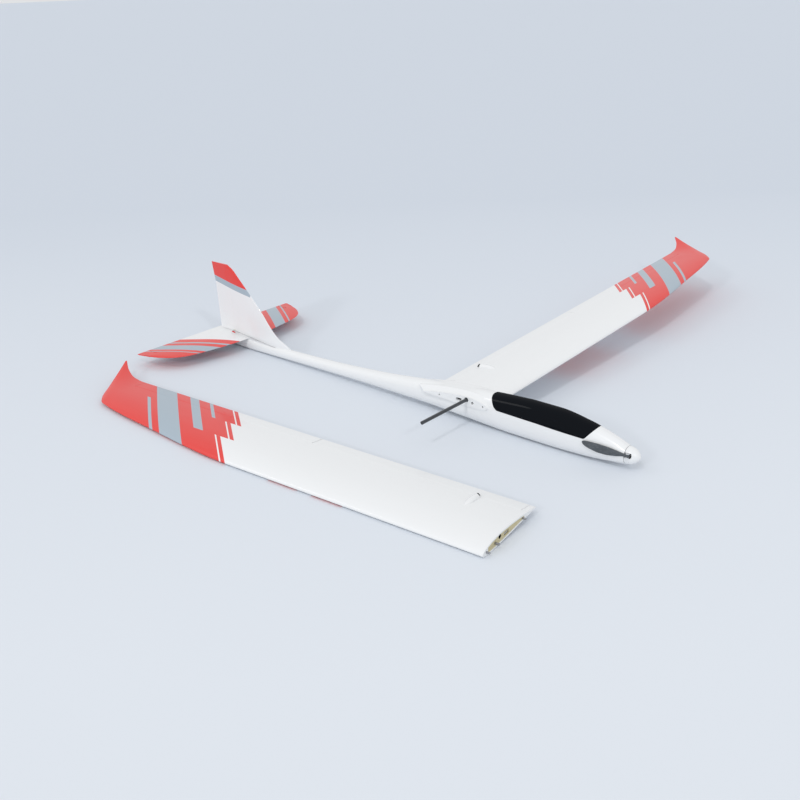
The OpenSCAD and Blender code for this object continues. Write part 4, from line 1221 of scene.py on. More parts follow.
@dataclass
class WingPlace:
    """How a panel is carried: its joiner, pins and the openings in its root."""

    section: Section
    dihedral: float = 2.8
    incidence: float = 1.5
    joiner_v: float = 59.0
    joiner_rise: float = 8.3
    pins_v: tuple[float, float] = (13, 138)
    pin_r: float = 2.0
    stud_v: float = 42
    stud_r: float = 2.5
    lead_v: float = 81
    lead_l: float = 16
    lead_w: float = 7
    joiner: Point = (sx(424), 34.0, 63.0)
    loose: tuple[float, float] = (202.0, -459.0)
    loose_turn: float = 4.3
    loose_tilt: float = 3.3

    def fitted(self) -> Matrix:
        """Frame of the panel that is plugged on.

        Returns:
            The frame.
        """
        spin = turn(self.dihedral, "X") @ turn(-self.incidence, "Y")
        root = spin @ Vector((-self.joiner_v, 0, self.joiner_rise))
        x, y, z = self.joiner
        return shift(x - root.x, y, z - root.z) @ spin

    def level(self, v: float, z: float) -> Matrix:
        """Frame at a point of the root whose Z runs level and outboard once fitted."""
        return shift(-v, 0, z) @ turn(self.incidence, "Y") @ turn(-90 - self.dihedral, "X")

    def laid(self, lift: float) -> Matrix:
        """Frame of the loose panel, whose own Y is mirrored."""
        spin = turn(self.loose_turn - 90, "Z") @ turn(self.loose_tilt, "Y")
        return shift(self.loose[0], self.loose[1], lift) @ spin

    def root_cutters(self, low: float, deep: float, grow: float, stud_grow: float) -> list[tuple]:
        """Round holes of the root as (frame, radius, from, to).

        Args:
            low: where it starts.
            deep: their length.
            grow: room round the pins.
            stud_grow: room round the stud.

        Returns:
            The holes.
        """
        middle = self.section.height
        sizes = [(v, self.pin_r + grow) for v in self.pins_v] + [(self.stud_v, self.stud_r + stud_grow)]
        return [(self.level(v, middle(0, v, 0)), r, low, low + deep) for v, r in sizes]

    def lead_outline(self) -> Flat:
        """Outline of the servo-lead opening."""
        return rectangle(-self.lead_l / 2, -self.lead_w / 2, self.lead_l, self.lead_w)

    def lead_frame(self) -> Matrix:
        """Frame of the servo-lead opening."""
        return self.level(self.lead_v, self.section.height(0, self.lead_v, 0))


def streamline(lead: float, end: float, half: float, bulge: float, count: int) -> Flat:
    """Half of a fixed tail surface's section, from its round nose to its hinge line.

    Args:
        lead: station of the leading edge.
        end: station of the hinge line.
        half: half thickness at the hinge line.
        bulge: how far the section swells between the two.
        count: steps along it.

    Returns:
        Points of X and half thickness.
    """
    out: Flat = []
    for i in range(count + 1):
        q = 1 - math.cos(math.radians(90 * i / count))
        swell = half * math.sqrt(max(q * (2 - q), 0)) + bulge * math.sin(math.pi * q)
        out.append((sx(lead + (end - lead) * q), swell))
    return out


@dataclass
class Fin:
    """Measures of the fin and rudder."""

    top: float = 232.0
    low: float = 42.5
    tilt: float = 6.36
    post_s: float = 1271.5
    lead_rows: Rows = Rows((
        (12, 1036), (31, 1046), (39, 1058), (56, 1096), (79, 1123), (118, 1156), (166, 1204),
        (200, 1240), (222, 1264), (232, 1284),
    ))
    trail_rows: Rows = Rows(((12, 1336), (42.5, 1338), (178, 1343), (195, 1345.5), (232, 1351.5)))
    bulge_rows: Rows = Rows(((12, 4.5), (38, 4.3), (62, 2.4), (118, 1.5), (232, 0.2)))

    def post(self, z: float) -> float:
        """Station of the hinge line at a height."""
        return self.post_s + (z - 50) * math.tan(math.radians(self.tilt))

    def half(self, z: float) -> float:
        """Half thickness at the hinge line."""
        return 4 - 1.2 * (z - self.low) / (self.top - self.low)

    def ring(self, z: float, count: int = 20) -> Ring:
        """Section of the fixed fin at a height.

        Args:
            z: height of the section.
            count: steps from one edge to the other.

        Returns:
            The section's points.
        """
        lead, bulge = self.lead_rows.at(z), self.bulge_rows.at(z)
        run = streamline(lead, self.post(z), self.half(z), bulge, count)
        left = [(x, -w, z) for x, w in reversed(run)]
        return left + [(x, w, z) for x, w in run[1:]]

    def rudder_ring(self, z: float) -> Ring:
        """Section of the rudder with its round nose.

        Args:
            z: height of the section.

        Returns:
            The section's points.
        """
        post, h, r = self.post(z), self.half(z), self.half(z) - 0.15
        trail = self.trail_rows.at(z)
        run = [(sx(post + (trail - post) * q), h + (0.5 - h) * q) for q in (1, 0.75, 0.5, 0.25, 0.03)]
        arc = [math.radians(-90 + 180 * i / 14) for i in range(15)]
        nose = [(sx(post) + r * math.cos(a), r * math.sin(a), z) for a in arc]
        return [(x, -w, z) for x, w in run] + nose + [(x, w, z) for x, w in reversed(run)]

    def cove_ring(self, z: float, grow: float) -> Ring:
        """Circle about the hinge line at a height."""
        return [(sx(self.post(z)) + x, y, z) for x, y in circle(self.half(z) - 0.15 + grow, 32)]


@dataclass
class Fuselage:
    """Moulded fuselage with its wing roots and fin, and the canopy over its bay."""

    hull: Hull
    wing: WingPlace
    fin: Fin
    canopy_t: float = 1.2
    canopy_gap: float = 0.4
    nose_hole: float = 16.5
    tube_hole: float = 5.5
    flares: Rows = Rows(((0, 0), (2.5, 0.8), (5.5, 3), (8.5, 7), (14, 14)))

    def stations(self) -> list[float]:
        """Stations of the outer skin, closer at the nose."""
        return joined(steps(self.hull.nose_s, 60, 10), steps(60, 400, 46), steps(400, self.hull.tail_s, 70))

    def saddle_ring(self, inward: float, side: int) -> Ring:
        """Root section spread and drawn in towards the centre line.

        Args:
            inward: distance from the wing root.
            side: 1 for the left, -1 for the right.

        Returns:
            The ring, in the model's frame.
        """
        flare = self.flares.at(inward)
        put = self.wing.fitted()
        out: Ring = []
        section = self.wing.section
        for x, y, z in section.ring(0, 26):
            q = -x / section.chord
            d = z - section.height(0, -x, 0)
            sign = 0 if q < 0.01 or d == 0 else math.copysign(1, d)
            p = put @ Vector((x + flare * (1 - 2.6 * q), y, z + 0.6 * flare * sign))
            out.append((p.x, side * (p.y - inward), p.z))
        return out

    def opening(self, name: str, gap: float) -> Solid:
        """Straight-sided cutter for the canopy opening."""
        return Solid(name).prism(self.hull.opening(gap), -65, 65, UPRIGHT)

    def shell(self) -> bpy.types.Object:
        """Outer skin with its openings.

        Returns:
            The solid.
        """
        hull, fin = self.hull, self.fin
        made = Solid("fuselage_skin").loft([hull.ring(s) for s in self.stations()]).made()
        inward = [0, 1, 2.5, 4, 5.5, 7, 8.5, 10, 12, 14]
        rings = [self.saddle_ring(i, -1) for i in inward] + [self.saddle_ring(i, 1) for i in inward[::-1]]
        combined(made, Solid("saddle").loft(rings), Cut.ADD)
        heights = joined(steps(12, 60, 10), steps(60, 214, 18), steps(214, fin.top, 6))
        combined(made, Solid("fin").loft([fin.ring(z) for z in heights]), Cut.ADD)
        inner = joined(steps(48, 84, 8), steps(84, 400, 30), steps(400, 1150, 30))
        combined(made, Solid("cavity").loft([hull.ring(s, hull.skin) for s in inner]), Cut.TAKE)
        combined(made, self.opening("bay", 0), Cut.TAKE)
        cove = [fin.cove_ring(z, 0.5) for z in (fin.low - 0.6, fin.top + 5)]
        combined(made, Solid("cove").loft(cove), Cut.TAKE)
        nose = shift(sx(hull.nose_s), 0, hull.axis_z) @ turn(90, "Y")
        combined(made, Solid("bore").prism(circle(self.nose_hole, 64), -24, 1, nose), Cut.TAKE)
        x, y, z = self.wing.joiner
        tube = shift(x, y + 5, z) @ UPRIGHT
        combined(made, Solid("tube").prism(circle(self.tube_hole, 48), 0, 2 * (y + 5), tube), Cut.TAKE)
        holes = Solid("root_holes")
        for mirror in (Matrix.Identity(4), FLIP_Y):
            put = mirror @ self.wing.fitted()
            for at, radius, low, high in self.wing.root_cutters(-9, 10, 0.15, 1):
                holes.prism(circle(radius, 32), low, high, put @ at)
            holes.prism(self.wing.lead_outline(), -12, 2, put @ self.wing.lead_frame())
        combined(made, holes, Cut.TAKE)
        return made

    def canopy(self) -> bpy.types.Object:
        """Thin shell over the equipment bay.

        Returns:
            The solid.
        """
        hull = self.hull
        made = Solid("canopy_skin").loft([hull.ring(s) for s in steps(72, 388, 60)]).made()
        inside = [hull.ring(s, self.canopy_t) for s in steps(70, 390, 60)]
        combined(made, Solid("under_canopy").loft(inside), Cut.TAKE)
        combined(made, self.opening("canopy_edge", self.canopy_gap), Cut.KEEP)
        return made

    def build(self, shop: Workshop) -> None:
        """Makes and dresses the pieces.

        Args:
            shop: where the pieces are finished.
        """
        shop.piece(self.shell(), "fuselage", FinPaint("fuselage_gelcoat"), ["fuselage_shell"])
        black = Gelcoat(
            "canopy_black", INK, seam=False, roughness=0.3, specular=0.0, coat=0.14, coat_roughness=0.03,
        )
        shop.piece(self.canopy(), "canopy_body", black, ["canopy"])
        heights = joined(steps(self.fin.low, 214, 20), steps(214, self.fin.top, 4))
        rudder = Solid("rudder_skin").loft([self.fin.rudder_ring(z) for z in heights]).made()
        shop.piece(rudder, "rudder_body", FinPaint("rudder_gelcoat", seam=False), ["rudder"])


# ------------------------------------------------------------------ wing panels
EYE_R = 2.2


def horn_outline(reach: float) -> Flat:
    """Outline of a horn plate.

    Args:
        reach: height of its eye over its foot.

    Returns:
        The outline in X and height.
    """
    foot = rectangle(-8, math.copysign(1, reach) - 0.5, 8, 1)
    points = foot + circle(EYE_R, 28, 0, reach)
    hull = [points[i] for i in convex_hull_2d(points)]
    first = hull.index(min(hull))
    return hull[first:] + hull[:first]


@dataclass
class Panel:
    """One wing panel with its flap, aileron and linkage fairing."""

    side: str
    section: Section
    wing: WingPlace
    place: Matrix
    flap_horn_u: float = 110.0
    flap_arm: float = 9.0
    servo_u: float = 800.0
    servo_v: float = 70.0
    aileron_arm: float = 14.4
    flap_room: float = 7.5
    aileron_room: float = 2.6
    fairing_l: float = 44.0
    fairing_w: float = 14.0
    fairing_h: float = 7.5
    fairing_t: float = 0.9
    horn_t: float = 1.6
    eye_hole: float = 0.65
    rim: float = 3.2
    slot_l: float = 12.0
    slot_w: float = 4.0
    well_l: float = 34.0
    well_w: float = 9.0
    servo_l: float = 46.0
    servo_w: float = 30.0
    servo_gap: float = 0.2
    sleeve_hole: float = 4.6
    past: float = 30.0
    mirror: Matrix = field(init=False)

    def __post_init__(self) -> None:
        """Mirrors the right panel within its own frame."""
        self.mirror = FLIP_Y if self.side == "right" else Matrix.Identity(4)

    @property
    def arm_u(self) -> float:
        """Distance of the aileron linkage from the root."""
        return self.servo_u + 23

    def box(self, tool: Solid, low: Point, size: Point) -> Solid:
        """Adds a straight cutter from its lowest corner."""
        return tool.prism(rectangle(low[0], low[1], size[0], size[1]), low[2], low[2] + size[2], self.mirror)

    def under_nose(self, low: float, high: float, ahead: float) -> Solid:
        """Room under a nose between two stations, so that the surface can droop.

        Args:
            low: where it starts.
            high: where it ends.
            ahead: how far the room reaches ahead of the hinge line.

        Returns:
            The cutter.
        """
        rings = []
        for u in (low, high):
            x, _, z = self.section.hinge(u)
            rings.append([(x + ahead, u, z), (x + ahead, u, z - 20), (x - 0.01, u, z - 20), (x - 0.01, u, z)])
        return Solid("under_nose").loft(rings, self.mirror)

    def skin(self) -> bpy.types.Object:
        """The fixed part, cut for its surfaces, linkages and root fittings.

        Returns:
            The solid.
        """
        s = self.section
        marks = (s.rib, s.aileron_to, s.length, s.length + s.rake * 0.8, s.tip - 1)
        spans = joined(*(steps(a, b, n) for a, b, n in zip(marks, marks[1:], (36, 4, 14, 6))))
        made = Solid(f"{self.side}_panel_skin").loft([s.ring(u) for u in spans], self.mirror).made()
        aft = Solid("aft")
        self.box(aft, (-s.chord - 60, s.flap_from, -40), (60 + s.flap_chord, s.aileron_to - s.flap_from, 80))
        combined(made, aft, Cut.TAKE)
        cove = Solid("cove")
        rings = []
        for u in steps(s.flap_from, s.aileron_to, 24):
            x, _, z = s.hinge(u)
            rings.append([(x + p, u, z + q) for p, q in circle(s.nose(u) + s.nose_gap, 32)])
        combined(made, cove.loft(rings, self.mirror), Cut.TAKE)
        combined(made, self.under_nose(s.flap_from, s.flap_to, self.flap_room), Cut.TAKE)
        combined(made, self.under_nose(s.flap_to + s.end_gap / 2, s.aileron_to, self.aileron_room), Cut.TAKE)
        notch = Solid("notch")
        middle, half_slot, gap = s.height(0, s.hinge_v, 0), self.slot_w / 2, self.servo_gap
        size = (self.slot_l, self.slot_w, self.past)
        self.box(notch, (-s.hinge_v - 0.01, self.flap_horn_u - half_slot, middle + 1), size)
        self.box(notch, (-s.hinge_v - 0.01, self.arm_u - half_slot, middle - 1 - self.past), size)
        cover = s.height(self.servo_u + self.servo_l, self.servo_v + self.servo_w, -1)
        low = (-self.servo_v - self.servo_w - gap, self.servo_u - gap, -self.past)
        self.box(notch, low, (self.servo_w + 2 * gap, self.servo_l + 2 * gap, self.past + 10 + cover))
        combined(made, notch, Cut.TAKE)
        low = (-s.hinge_v + 2, self.flap_horn_u - self.well_w / 2, middle + 3)
        combined(made, self.box(Solid("well"), low, (self.well_l, self.well_w, self.past)), Cut.TAKE)
        combined(made, self.root_openings("root"), Cut.TAKE)
        return made

    def root_openings(self, name: str) -> Solid:
        """Everything that passes through the root rib, as cutters.

        Args:
            name: the name of what is made.

        Returns:
            The cutter.
        """
        tool = Solid(name)
        for at, radius, low, high in self.wing.root_cutters(-1, 25, 0.1, 0.1):
            tool.prism(circle(radius, 28), low, high, self.mirror @ at)
        joiner = self.wing.level(self.wing.joiner_v, self.wing.joiner_rise)
        tool.prism(circle(self.sleeve_hole, 40), -1, 160, self.mirror @ joiner)
        return tool.prism(self.wing.lead_outline(), -1, 39, self.mirror @ self.wing.lead_frame())

    def rib_ring(self, u: float, inset: float) -> Ring:
        """Outline of the bare ply in the root rib's face.

        Args:
            u: distance from the root.
            inset: how far inside the section.

        Returns:
            The section's points.
        """
        s = self.section
        run = steps(s.chord * 0.1, s.chord * 0.77, 9)
        top = [(-v, u, s.height(0, v, 1) - inset) for v in reversed(run)]
        return top + [(-v, u, s.height(0, v, -1) + inset) for v in run]

    def rib_plate(self) -> bpy.types.Object:
        """Bare ply face of the root rib, a little behind its rim.

        Returns:
            The solid.
        """
        rings = [self.rib_ring(u, self.rim + 0.02) for u in (0.3, self.section.rib)]
        made = Solid(f"{self.side}_rib_plate").loft(rings, self.mirror).made()
        combined(made, self.root_openings("rib_holes"), Cut.TAKE)
        return made

    def rib_rim(self) -> bpy.types.Object:
        """Covered edge of the root rib.

        Returns:
            The solid.
        """
        s = self.section
        made = Solid(f"{self.side}_rib_rim").loft([s.ring(u) for u in (0, s.rib)], self.mirror).made()
        inner = Solid("inner").loft([self.rib_ring(u, self.rim) for u in (-1, s.rib + 1)], self.mirror)
        combined(made, inner, Cut.TAKE)
        combined(made, self.root_openings("rim_holes"), Cut.TAKE)
        return made

    def surface(self, name: str, low: float, high: float) -> bpy.types.Object:
        """A flap or aileron.

        Args:
            name: the piece's name.
            low: distance of its inner end from the root.
            high: distance of its outer end.

        Returns:
            The solid.
        """
        s = self.section
        return Solid(name).loft([s.moving_ring(u) for u in steps(low, high, 24)], self.mirror).made()

    def horn(self, name: str, at: float, reach: float) -> bpy.types.Object:
        """The plate that a surface's pushrod pulls on.

        Args:
            name: the piece's name.
            at: distance of the horn from the root.
            reach: height of its eye over the hinge line.

        Returns:
            The solid.
        """
        x, y, z = self.section.hinge(at)
        put, half = self.mirror @ shift(x, y, z) @ UPRIGHT, self.horn_t / 2
        made = Solid(name).prism(horn_outline(reach), -half, half, put).made()
        put = self.mirror @ shift(x, y, z + reach) @ UPRIGHT
        eye = Solid("eye").prism(circle(self.eye_hole, 16), -2, 2, put)
        combined(made, eye, Cut.TAKE)
        return made

    def fairing(self) -> bpy.types.Object:
        """Teardrop cover over the flap linkage, open at the rear.

        Returns:
            The solid.
        """
        s, along, around = self.section, 28, 24
        front = s.hinge_v - 4 - self.fairing_l
        base_u = self.flap_horn_u
        half_turn = [math.pi * k / around for k in range(around + 1)]
        rings = []
        for i in range(along + 1):
            q = max(i / along, 0.004)
            v = front + self.fairing_l * q
            tall = self.fairing_h * (1 - (1 - q) ** 2.3)
            wide = self.fairing_w / 2 * (1 - (1 - q) ** 6)
            base = s.height(base_u, v, 1) - 0.15
            ring = []
            for wall, run in ((0.0, half_turn), (self.fairing_t if i > 1 else 0.2, half_turn[::-1])):
                w, h = max(wide - wall, 0.05), max(tall - wall, 0.05)
                ring += [(-v, base_u + w * math.cos(a), base + h * math.sin(a)) for a in run]
            rings.append(ring)
        return Solid(f"{self.side}_fairing_skin").loft(rings, self.mirror).made()

    def build(self, shop: Workshop) -> None:
        """Makes and dresses the pieces.

        Args:
            shop: where the pieces are finished.
        """
        s, side = self.section, self.side
        top, under = WingFilm("wing_film"), WingFilm("wing_film_underside", underside=True)
        parts = [
            (self.skin(), f"{side}_wing", f"{side}_panel"),
            (self.surface(f"{side}_flap_skin", s.flap_from + 0.8, s.flap_to),
             f"{side}_flap_body", f"{side}_flap"),
            (self.surface(f"{side}_aileron_skin", s.flap_to + s.end_gap, s.aileron_to - 0.8),
             f"{side}_aileron_body", f"{side}_aileron"),
        ]
        for made, body, node in parts:
            shop.piece(made, body, top, [node], self.place, 40)
            made.data.materials.append(under.painted())
            for face in made.data.polygons:
                face.material_index = 1 if face.normal.z < -0.35 else 0
        dark = Moulding("horn_black", from_screen(24, 24, 27), 0.4)
        for kind, at, reach in (("flap", self.flap_horn_u, self.flap_arm),
                                ("aileron", self.arm_u, -self.aileron_arm)):
            horn = self.horn(f"{side}_{kind}_horn", at, reach)
            shop.piece(horn, f"{side}_{kind}_body", dark, (), self.place, 40)
        white = Gelcoat("fairing_white", seam=False)
        node = f"{side}_flap_fairing"
        shop.piece(self.fairing(), f"{side}_wing", white, [node], self.place, 40)
        wood = (from_screen(188, 176, 138), from_screen(214, 205, 170))
        ply = Plywood("plywood_root", (0.08, 1, 1), 1, *wood)
        shop.piece(self.rib_plate(), f"{side}_wing", ply, [f"{side}_root_rib"], self.place, 40)
        shop.piece(self.rib_rim(), f"{side}_wing", white, (), self.place, 40)


# ------------------------------------------------------------------ stabilizer
@dataclass
class Stabilizer:
    """Stabilizer and elevator."""

    start: float = 1214.0
    chord: float = 151.0
    half: float = 271.0
    z: float = 33.0
    elevator_chord: float = 38.0
    elevator_half: float = 236.0
    hinge_half: float = 2.6
    edge: float = 0.5
    end_gap: float = 1.6
    nose_gap: float = 0.4
    lead_rows: Rows = Rows(((0, 0), (55, 3), (150, 16), (190, 26), (220, 42), (250, 80), (271, 144)))
    half_rows: Rows = Rows(((0, 2.6), (236, 2.6), (271, 1.1)))
    bulge_rows: Rows = Rows(((0, 2.3), (190, 1.2), (271, 0.2)))

    @property
    def hinge_s(self) -> float:
        """Station of the elevator's hinge line."""
        return self.start + self.chord - self.elevator_chord

    def ring(self, y: float) -> Ring:
        """Section at a distance from the centre, trailing edge first.

        Args:
            y: distance from the centre line.

        Returns:
            The section's points.
        """
        away = abs(y)
        lead, end = self.start + self.lead_rows.at(away), self.start + self.chord
        fixed = max(self.hinge_s, lead + 1)
        h = self.half_rows.at(away)
        run = streamline(lead, fixed, h, self.bulge_rows.at(away), 16)
        run += [(sx(fixed + (end - fixed) * q), h + (self.edge - h) * q) for q in (0.5, 1)]
        top = [(x, y, self.z + w) for x, w in reversed(run)]
        return top + [(x, y, self.z - w) for x, w in run[1:]]

    def skin(self) -> bpy.types.Object:
        """The fixed part.

        Returns:
            The solid.
        """
        right = joined(steps(0, 180, 16), steps(180, 250, 14), steps(250, self.half, 10))
        rings = [self.ring(-y) for y in reversed(right)] + [self.ring(y) for y in right[1:]]
        made = Solid("stabilizer_skin").loft(rings).made()
        wide, past = self.elevator_half + self.end_gap, 20
        outline = rectangle(sx(self.start + self.chord + past), -wide, self.elevator_chord + past, 2 * wide)
        combined(made, Solid("box").prism(outline, self.z - past, self.z + past), Cut.TAKE)
        hinge = shift(sx(self.hinge_s), 0, self.z) @ UPRIGHT
        cove = Solid("cove").prism(circle(self.hinge_half + self.nose_gap, 32), -wide, wide, hinge)
        combined(made, cove, Cut.TAKE)
        return made

    def elevator(self) -> bpy.types.Object:
        """The moving part, a straight profile with a round nose.

        Returns:
            The solid.
        """
        x, h, r = sx(self.hinge_s), self.hinge_half, self.hinge_half - 0.1
        run = [(x - self.elevator_chord * q, h + (self.edge - h) * q) for q in (1, 0.5, 0.03)]
        angles = [math.radians(90 - 12 * i) for i in range(16)]
        arc = [(x + r * math.cos(a), r * math.sin(a)) for a in angles]
        outline = run + arc + [(p, -w) for p, w in reversed(run)]
        ends = (-self.elevator_half, 0.0, self.elevator_half)
        return Solid("elevator_skin").loft([[(p, y, self.z + w) for p, w in outline] for y in ends]).made()

    def build(self, shop: Workshop) -> None:
        """Makes and dresses the pieces.

        Args:
            shop: where the pieces are finished.
        """
        film = TailFilm("tail_film")
        shop.piece(self.skin(), "fuselage", film, ["stabilizer"], None, 40)
        shop.piece(self.elevator(), "elevator_body", film, ["elevator"], None, 40)


# ------------------------------------------------------------------ propeller
@dataclass
class Propeller:
    """Folding propeller: spinner and two blades laid back along the nose."""

    spinner_d: float = 39.0
    spinner_l: float = 28.0
    wall: float = 1.2
    back: float = 1.4
    shaft: float = 4.0
    slot: float = 11.0
    pin_s: float = 21.0
    span: float = 42.0
    splay: float = 8.5
    turned: float = 20.0
    length: float = 100.0
    axis_z: float = 32.0
    boss_r: float = 3.8
    pin_r: float = 1.6
    rows: Rows = Rows((
        (6, 6, 4.4, 0, 0), (13, 8.5, 3.2, 16, 0.2), (26, 14, 2.5, 17, 0.8), (45, 18.4, 2.1, 15, 1.2),
        (60, 19, 1.8, 13, 1), (80, 15.6, 1.4, 11, -0.4), (92, 11.5, 1.1, 10, -1.8),
        (98, 6.5, 0.9, 10, -2.8), (100, 2.2, 0.7, 10, -3.4),
    ))

    def frame(self) -> Matrix:
        """The propeller's frame, turned about the shaft."""
        return shift(0, 0, self.axis_z) @ turn(-self.turned, "X")

    def radius(self, s: float) -> float:
        """Spinner radius at a station."""
        return self.spinner_d / 2 * (1 - (1 - min(s / self.spinner_l, 1)) ** 2) ** 0.62

    def spinner(self) -> bpy.types.Object:
        """Thin cone with a slot for each blade.

        Returns:
            The solid.
        """
        long = self.spinner_l
        outer = [(max(self.radius(s), 0.02), -s) for s in (long * (i / 32) ** 1.6 for i in range(33))]
        inner = [
            (max(self.radius(s) - self.wall, 0.5), -s)
            for s in (3 + (long - self.back - 3) * i / 20 for i in range(20, -1, -1))
        ]
        hub = [(self.shaft / 2 + 0.1, -long), (self.shaft / 2 + 0.1, -long + self.back)]
        put = self.frame() @ shift(sx(0), 0, 0) @ turn(90, "Y")
        made = Solid("spinner_skin").spun(outer + hub + inner + [(0.02, -3)], 96, put).made()
        cuts = Solid("slots")
        for side in (15, -35):
            cuts.prism(rectangle(-self.slot / 2, side, self.slot, 20), -long - 1, -10, put)
        combined(made, cuts, Cut.TAKE)
        return made

    def blade_ring(self, r: float) -> Ring:
        """Section of a blade at a share of its length, in hundredths.

        Args:
            r: place along the blade.

        Returns:
            The section's points.
        """
        w, t, a, m = (self.rows.at(r, c) for c in (1, 2, 3, 4))
        ca, sa = math.cos(math.radians(a)), math.sin(math.radians(a))
        out: Ring = []
        for i in range(28):
            g = 2 * math.pi * i / 28
            s = math.sin(g)
            p = (-t / 2 * s * (1 if s > 0 else 0.7) + t * 0.25 * s * s, -w / 2 * math.cos(g))
            out.append((-r * self.length / 100, p[0] * ca - p[1] * sa, m + p[0] * sa + p[1] * ca))
        return out

    def blade(self, name: str, other: bool) -> bpy.types.Object:
        """One blade with its boss.

        Args:
            name: the name of what is made.
            other: whether this is the blade on the far side.

        Returns:
            The solid.
        """
        put = self.frame() @ shift(sx(self.pin_s), self.span / 2, 0) @ turn(-self.splay, "Z")
        if other:
            put = shift(0, 0, self.axis_z) @ turn(180, "X") @ shift(0, 0, -self.axis_z) @ put
        places = joined(steps(6, 20, 7), steps(20, 80, 20), steps(80, 96, 8), steps(96, 100, 6))
        made = Solid(name).loft([self.blade_ring(r) for r in places], put).made()
        boss = Solid("boss").prism(circle(self.boss_r, 32), -3, 3, put)
        combined(made, boss, Cut.ADD)
        combined(made, Solid("neck").prism(rectangle(-7, -2, 7, 4), -3, 3, put), Cut.ADD)
        combined(made, Solid("pin").prism(circle(self.pin_r, 24), -5, 5, put), Cut.TAKE)
        return made

    def build(self, shop: Workshop) -> None:
        """Makes and dresses the pieces.

        Args:
            shop: where the pieces are finished.
        """
        white = Gelcoat("spinner_white", seam=False, roughness=0.28)
        shop.piece(self.spinner(), "propeller", white, ["spinner"])
        grey = BladeFibre("blade_fibre")
        for side in ("right", "left"):
            blade = self.blade(f"{side}_blade_skin", side == "right")
            shop.piece(blade, f"blade_{side}_body", grey, [f"blade_{side}"])


# ------------------------------------------------------------------ equipment
@dataclass
class Equipment:
    """Everything that keeps its CAD mesh: structure, drive, radio and linkages."""

    sleeve_l: float = 11.0
    sleeve_r: float = 1.75

    def keeper(self) -> bpy.types.Object:
        """Soft red sleeve that keeps the rudder clevis closed.

        Returns:
            The solid.
        """
        rod_low, rod_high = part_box("rudder_pushrod")
        end = Vector((rod_low.x + 0.0028, rod_low.y + 0.002, rod_high.z - 0.0012)) / MM
        bend = Vector((sx(1060), -5, 24))
        run = (bend - end).normalized()
        put = Matrix.Translation(end + run * 3) @ run.to_track_quat("Z", "Y").to_matrix().to_4x4()
        r, l = self.sleeve_r, self.sleeve_l
        profile = [(0.95, 0), (r - 0.35, 0), (r, 0.5), (r, l - 0.5), (r - 0.35, l), (0.95, l)]
        return Solid("clevis_keeper").spun(profile, 28, put).made()

    def build(self, shop: Workshop) -> None:
        """Dresses the kept CAD nodes.

        Args:
            shop: where the pieces are finished.
        """
        finishes: tuple[tuple[Finish, str], ...] = (
            (Plywood("plywood_across", (1, 1, 0.08), 0), "firewall formers"),
            (Plywood("plywood_tray", (0.08, 1, 1), 2), "equipment_tray canopy_frame"),
            (CarbonTube("carbon_joiner"), "wing_joiner joiner_tube left_joiner_socket right_joiner_socket"),
            (Metal("steel", (0.62, 0.62, 0.63), 0.25),
             "motor_screws spinner_screw motor_shaft blade_pins stab_screws rudder_hinge_wire "
             "elevator_hinge_wire elevator_pushrod rudder_pushrod left_flap_pushrod right_flap_pushrod "
             "left_aileron_pushrod right_aileron_pushrod"),
            (Metal("turned_alloy", (0.72, 0.73, 0.75), 0.32), "prop_yoke motor_base canopy_magnets"),
            (Metal("gold_anodised", (0.75, 0.55, 0.2), 0.3), "motor_bell"),
            (Metal("root_pin_metal", (0.35, 0.35, 0.37), 0.35), "left_root_pins right_root_pins"),
            (ShrinkWrap("battery_wrap"), "battery"),
            (Webbing("strap_webbing"), "battery_strap"),
            (Moulding("case_black", from_screen(34, 35, 38), 0.4), "esc elevator_servo rudder_servo"),
            (Moulding("receiver_case", from_screen(206, 96, 30), 0.38), "receiver"),
            (Moulding("guide_tube", from_screen(222, 222, 214), 0.3), "guide_tubes"),
            (Moulding("white_plastic", from_screen(232, 233, 233), 0.35),
             "left_aileron_servo right_aileron_servo elevator_servo_arm rudder_servo_arm "
             "left_aileron_servo_arm right_aileron_servo_arm"),
            (Glassboard("glass_horn"), "rudder_horn elevator_horn"),
        )
        for finish, nodes in finishes:
            shop.dress(finish, *nodes.split())
        red = Moulding("keeper_red", from_screen(214, 36, 52), 0.5)
        shop.piece(self.keeper(), "rudder_pushrod_body", red, (), None, 50)


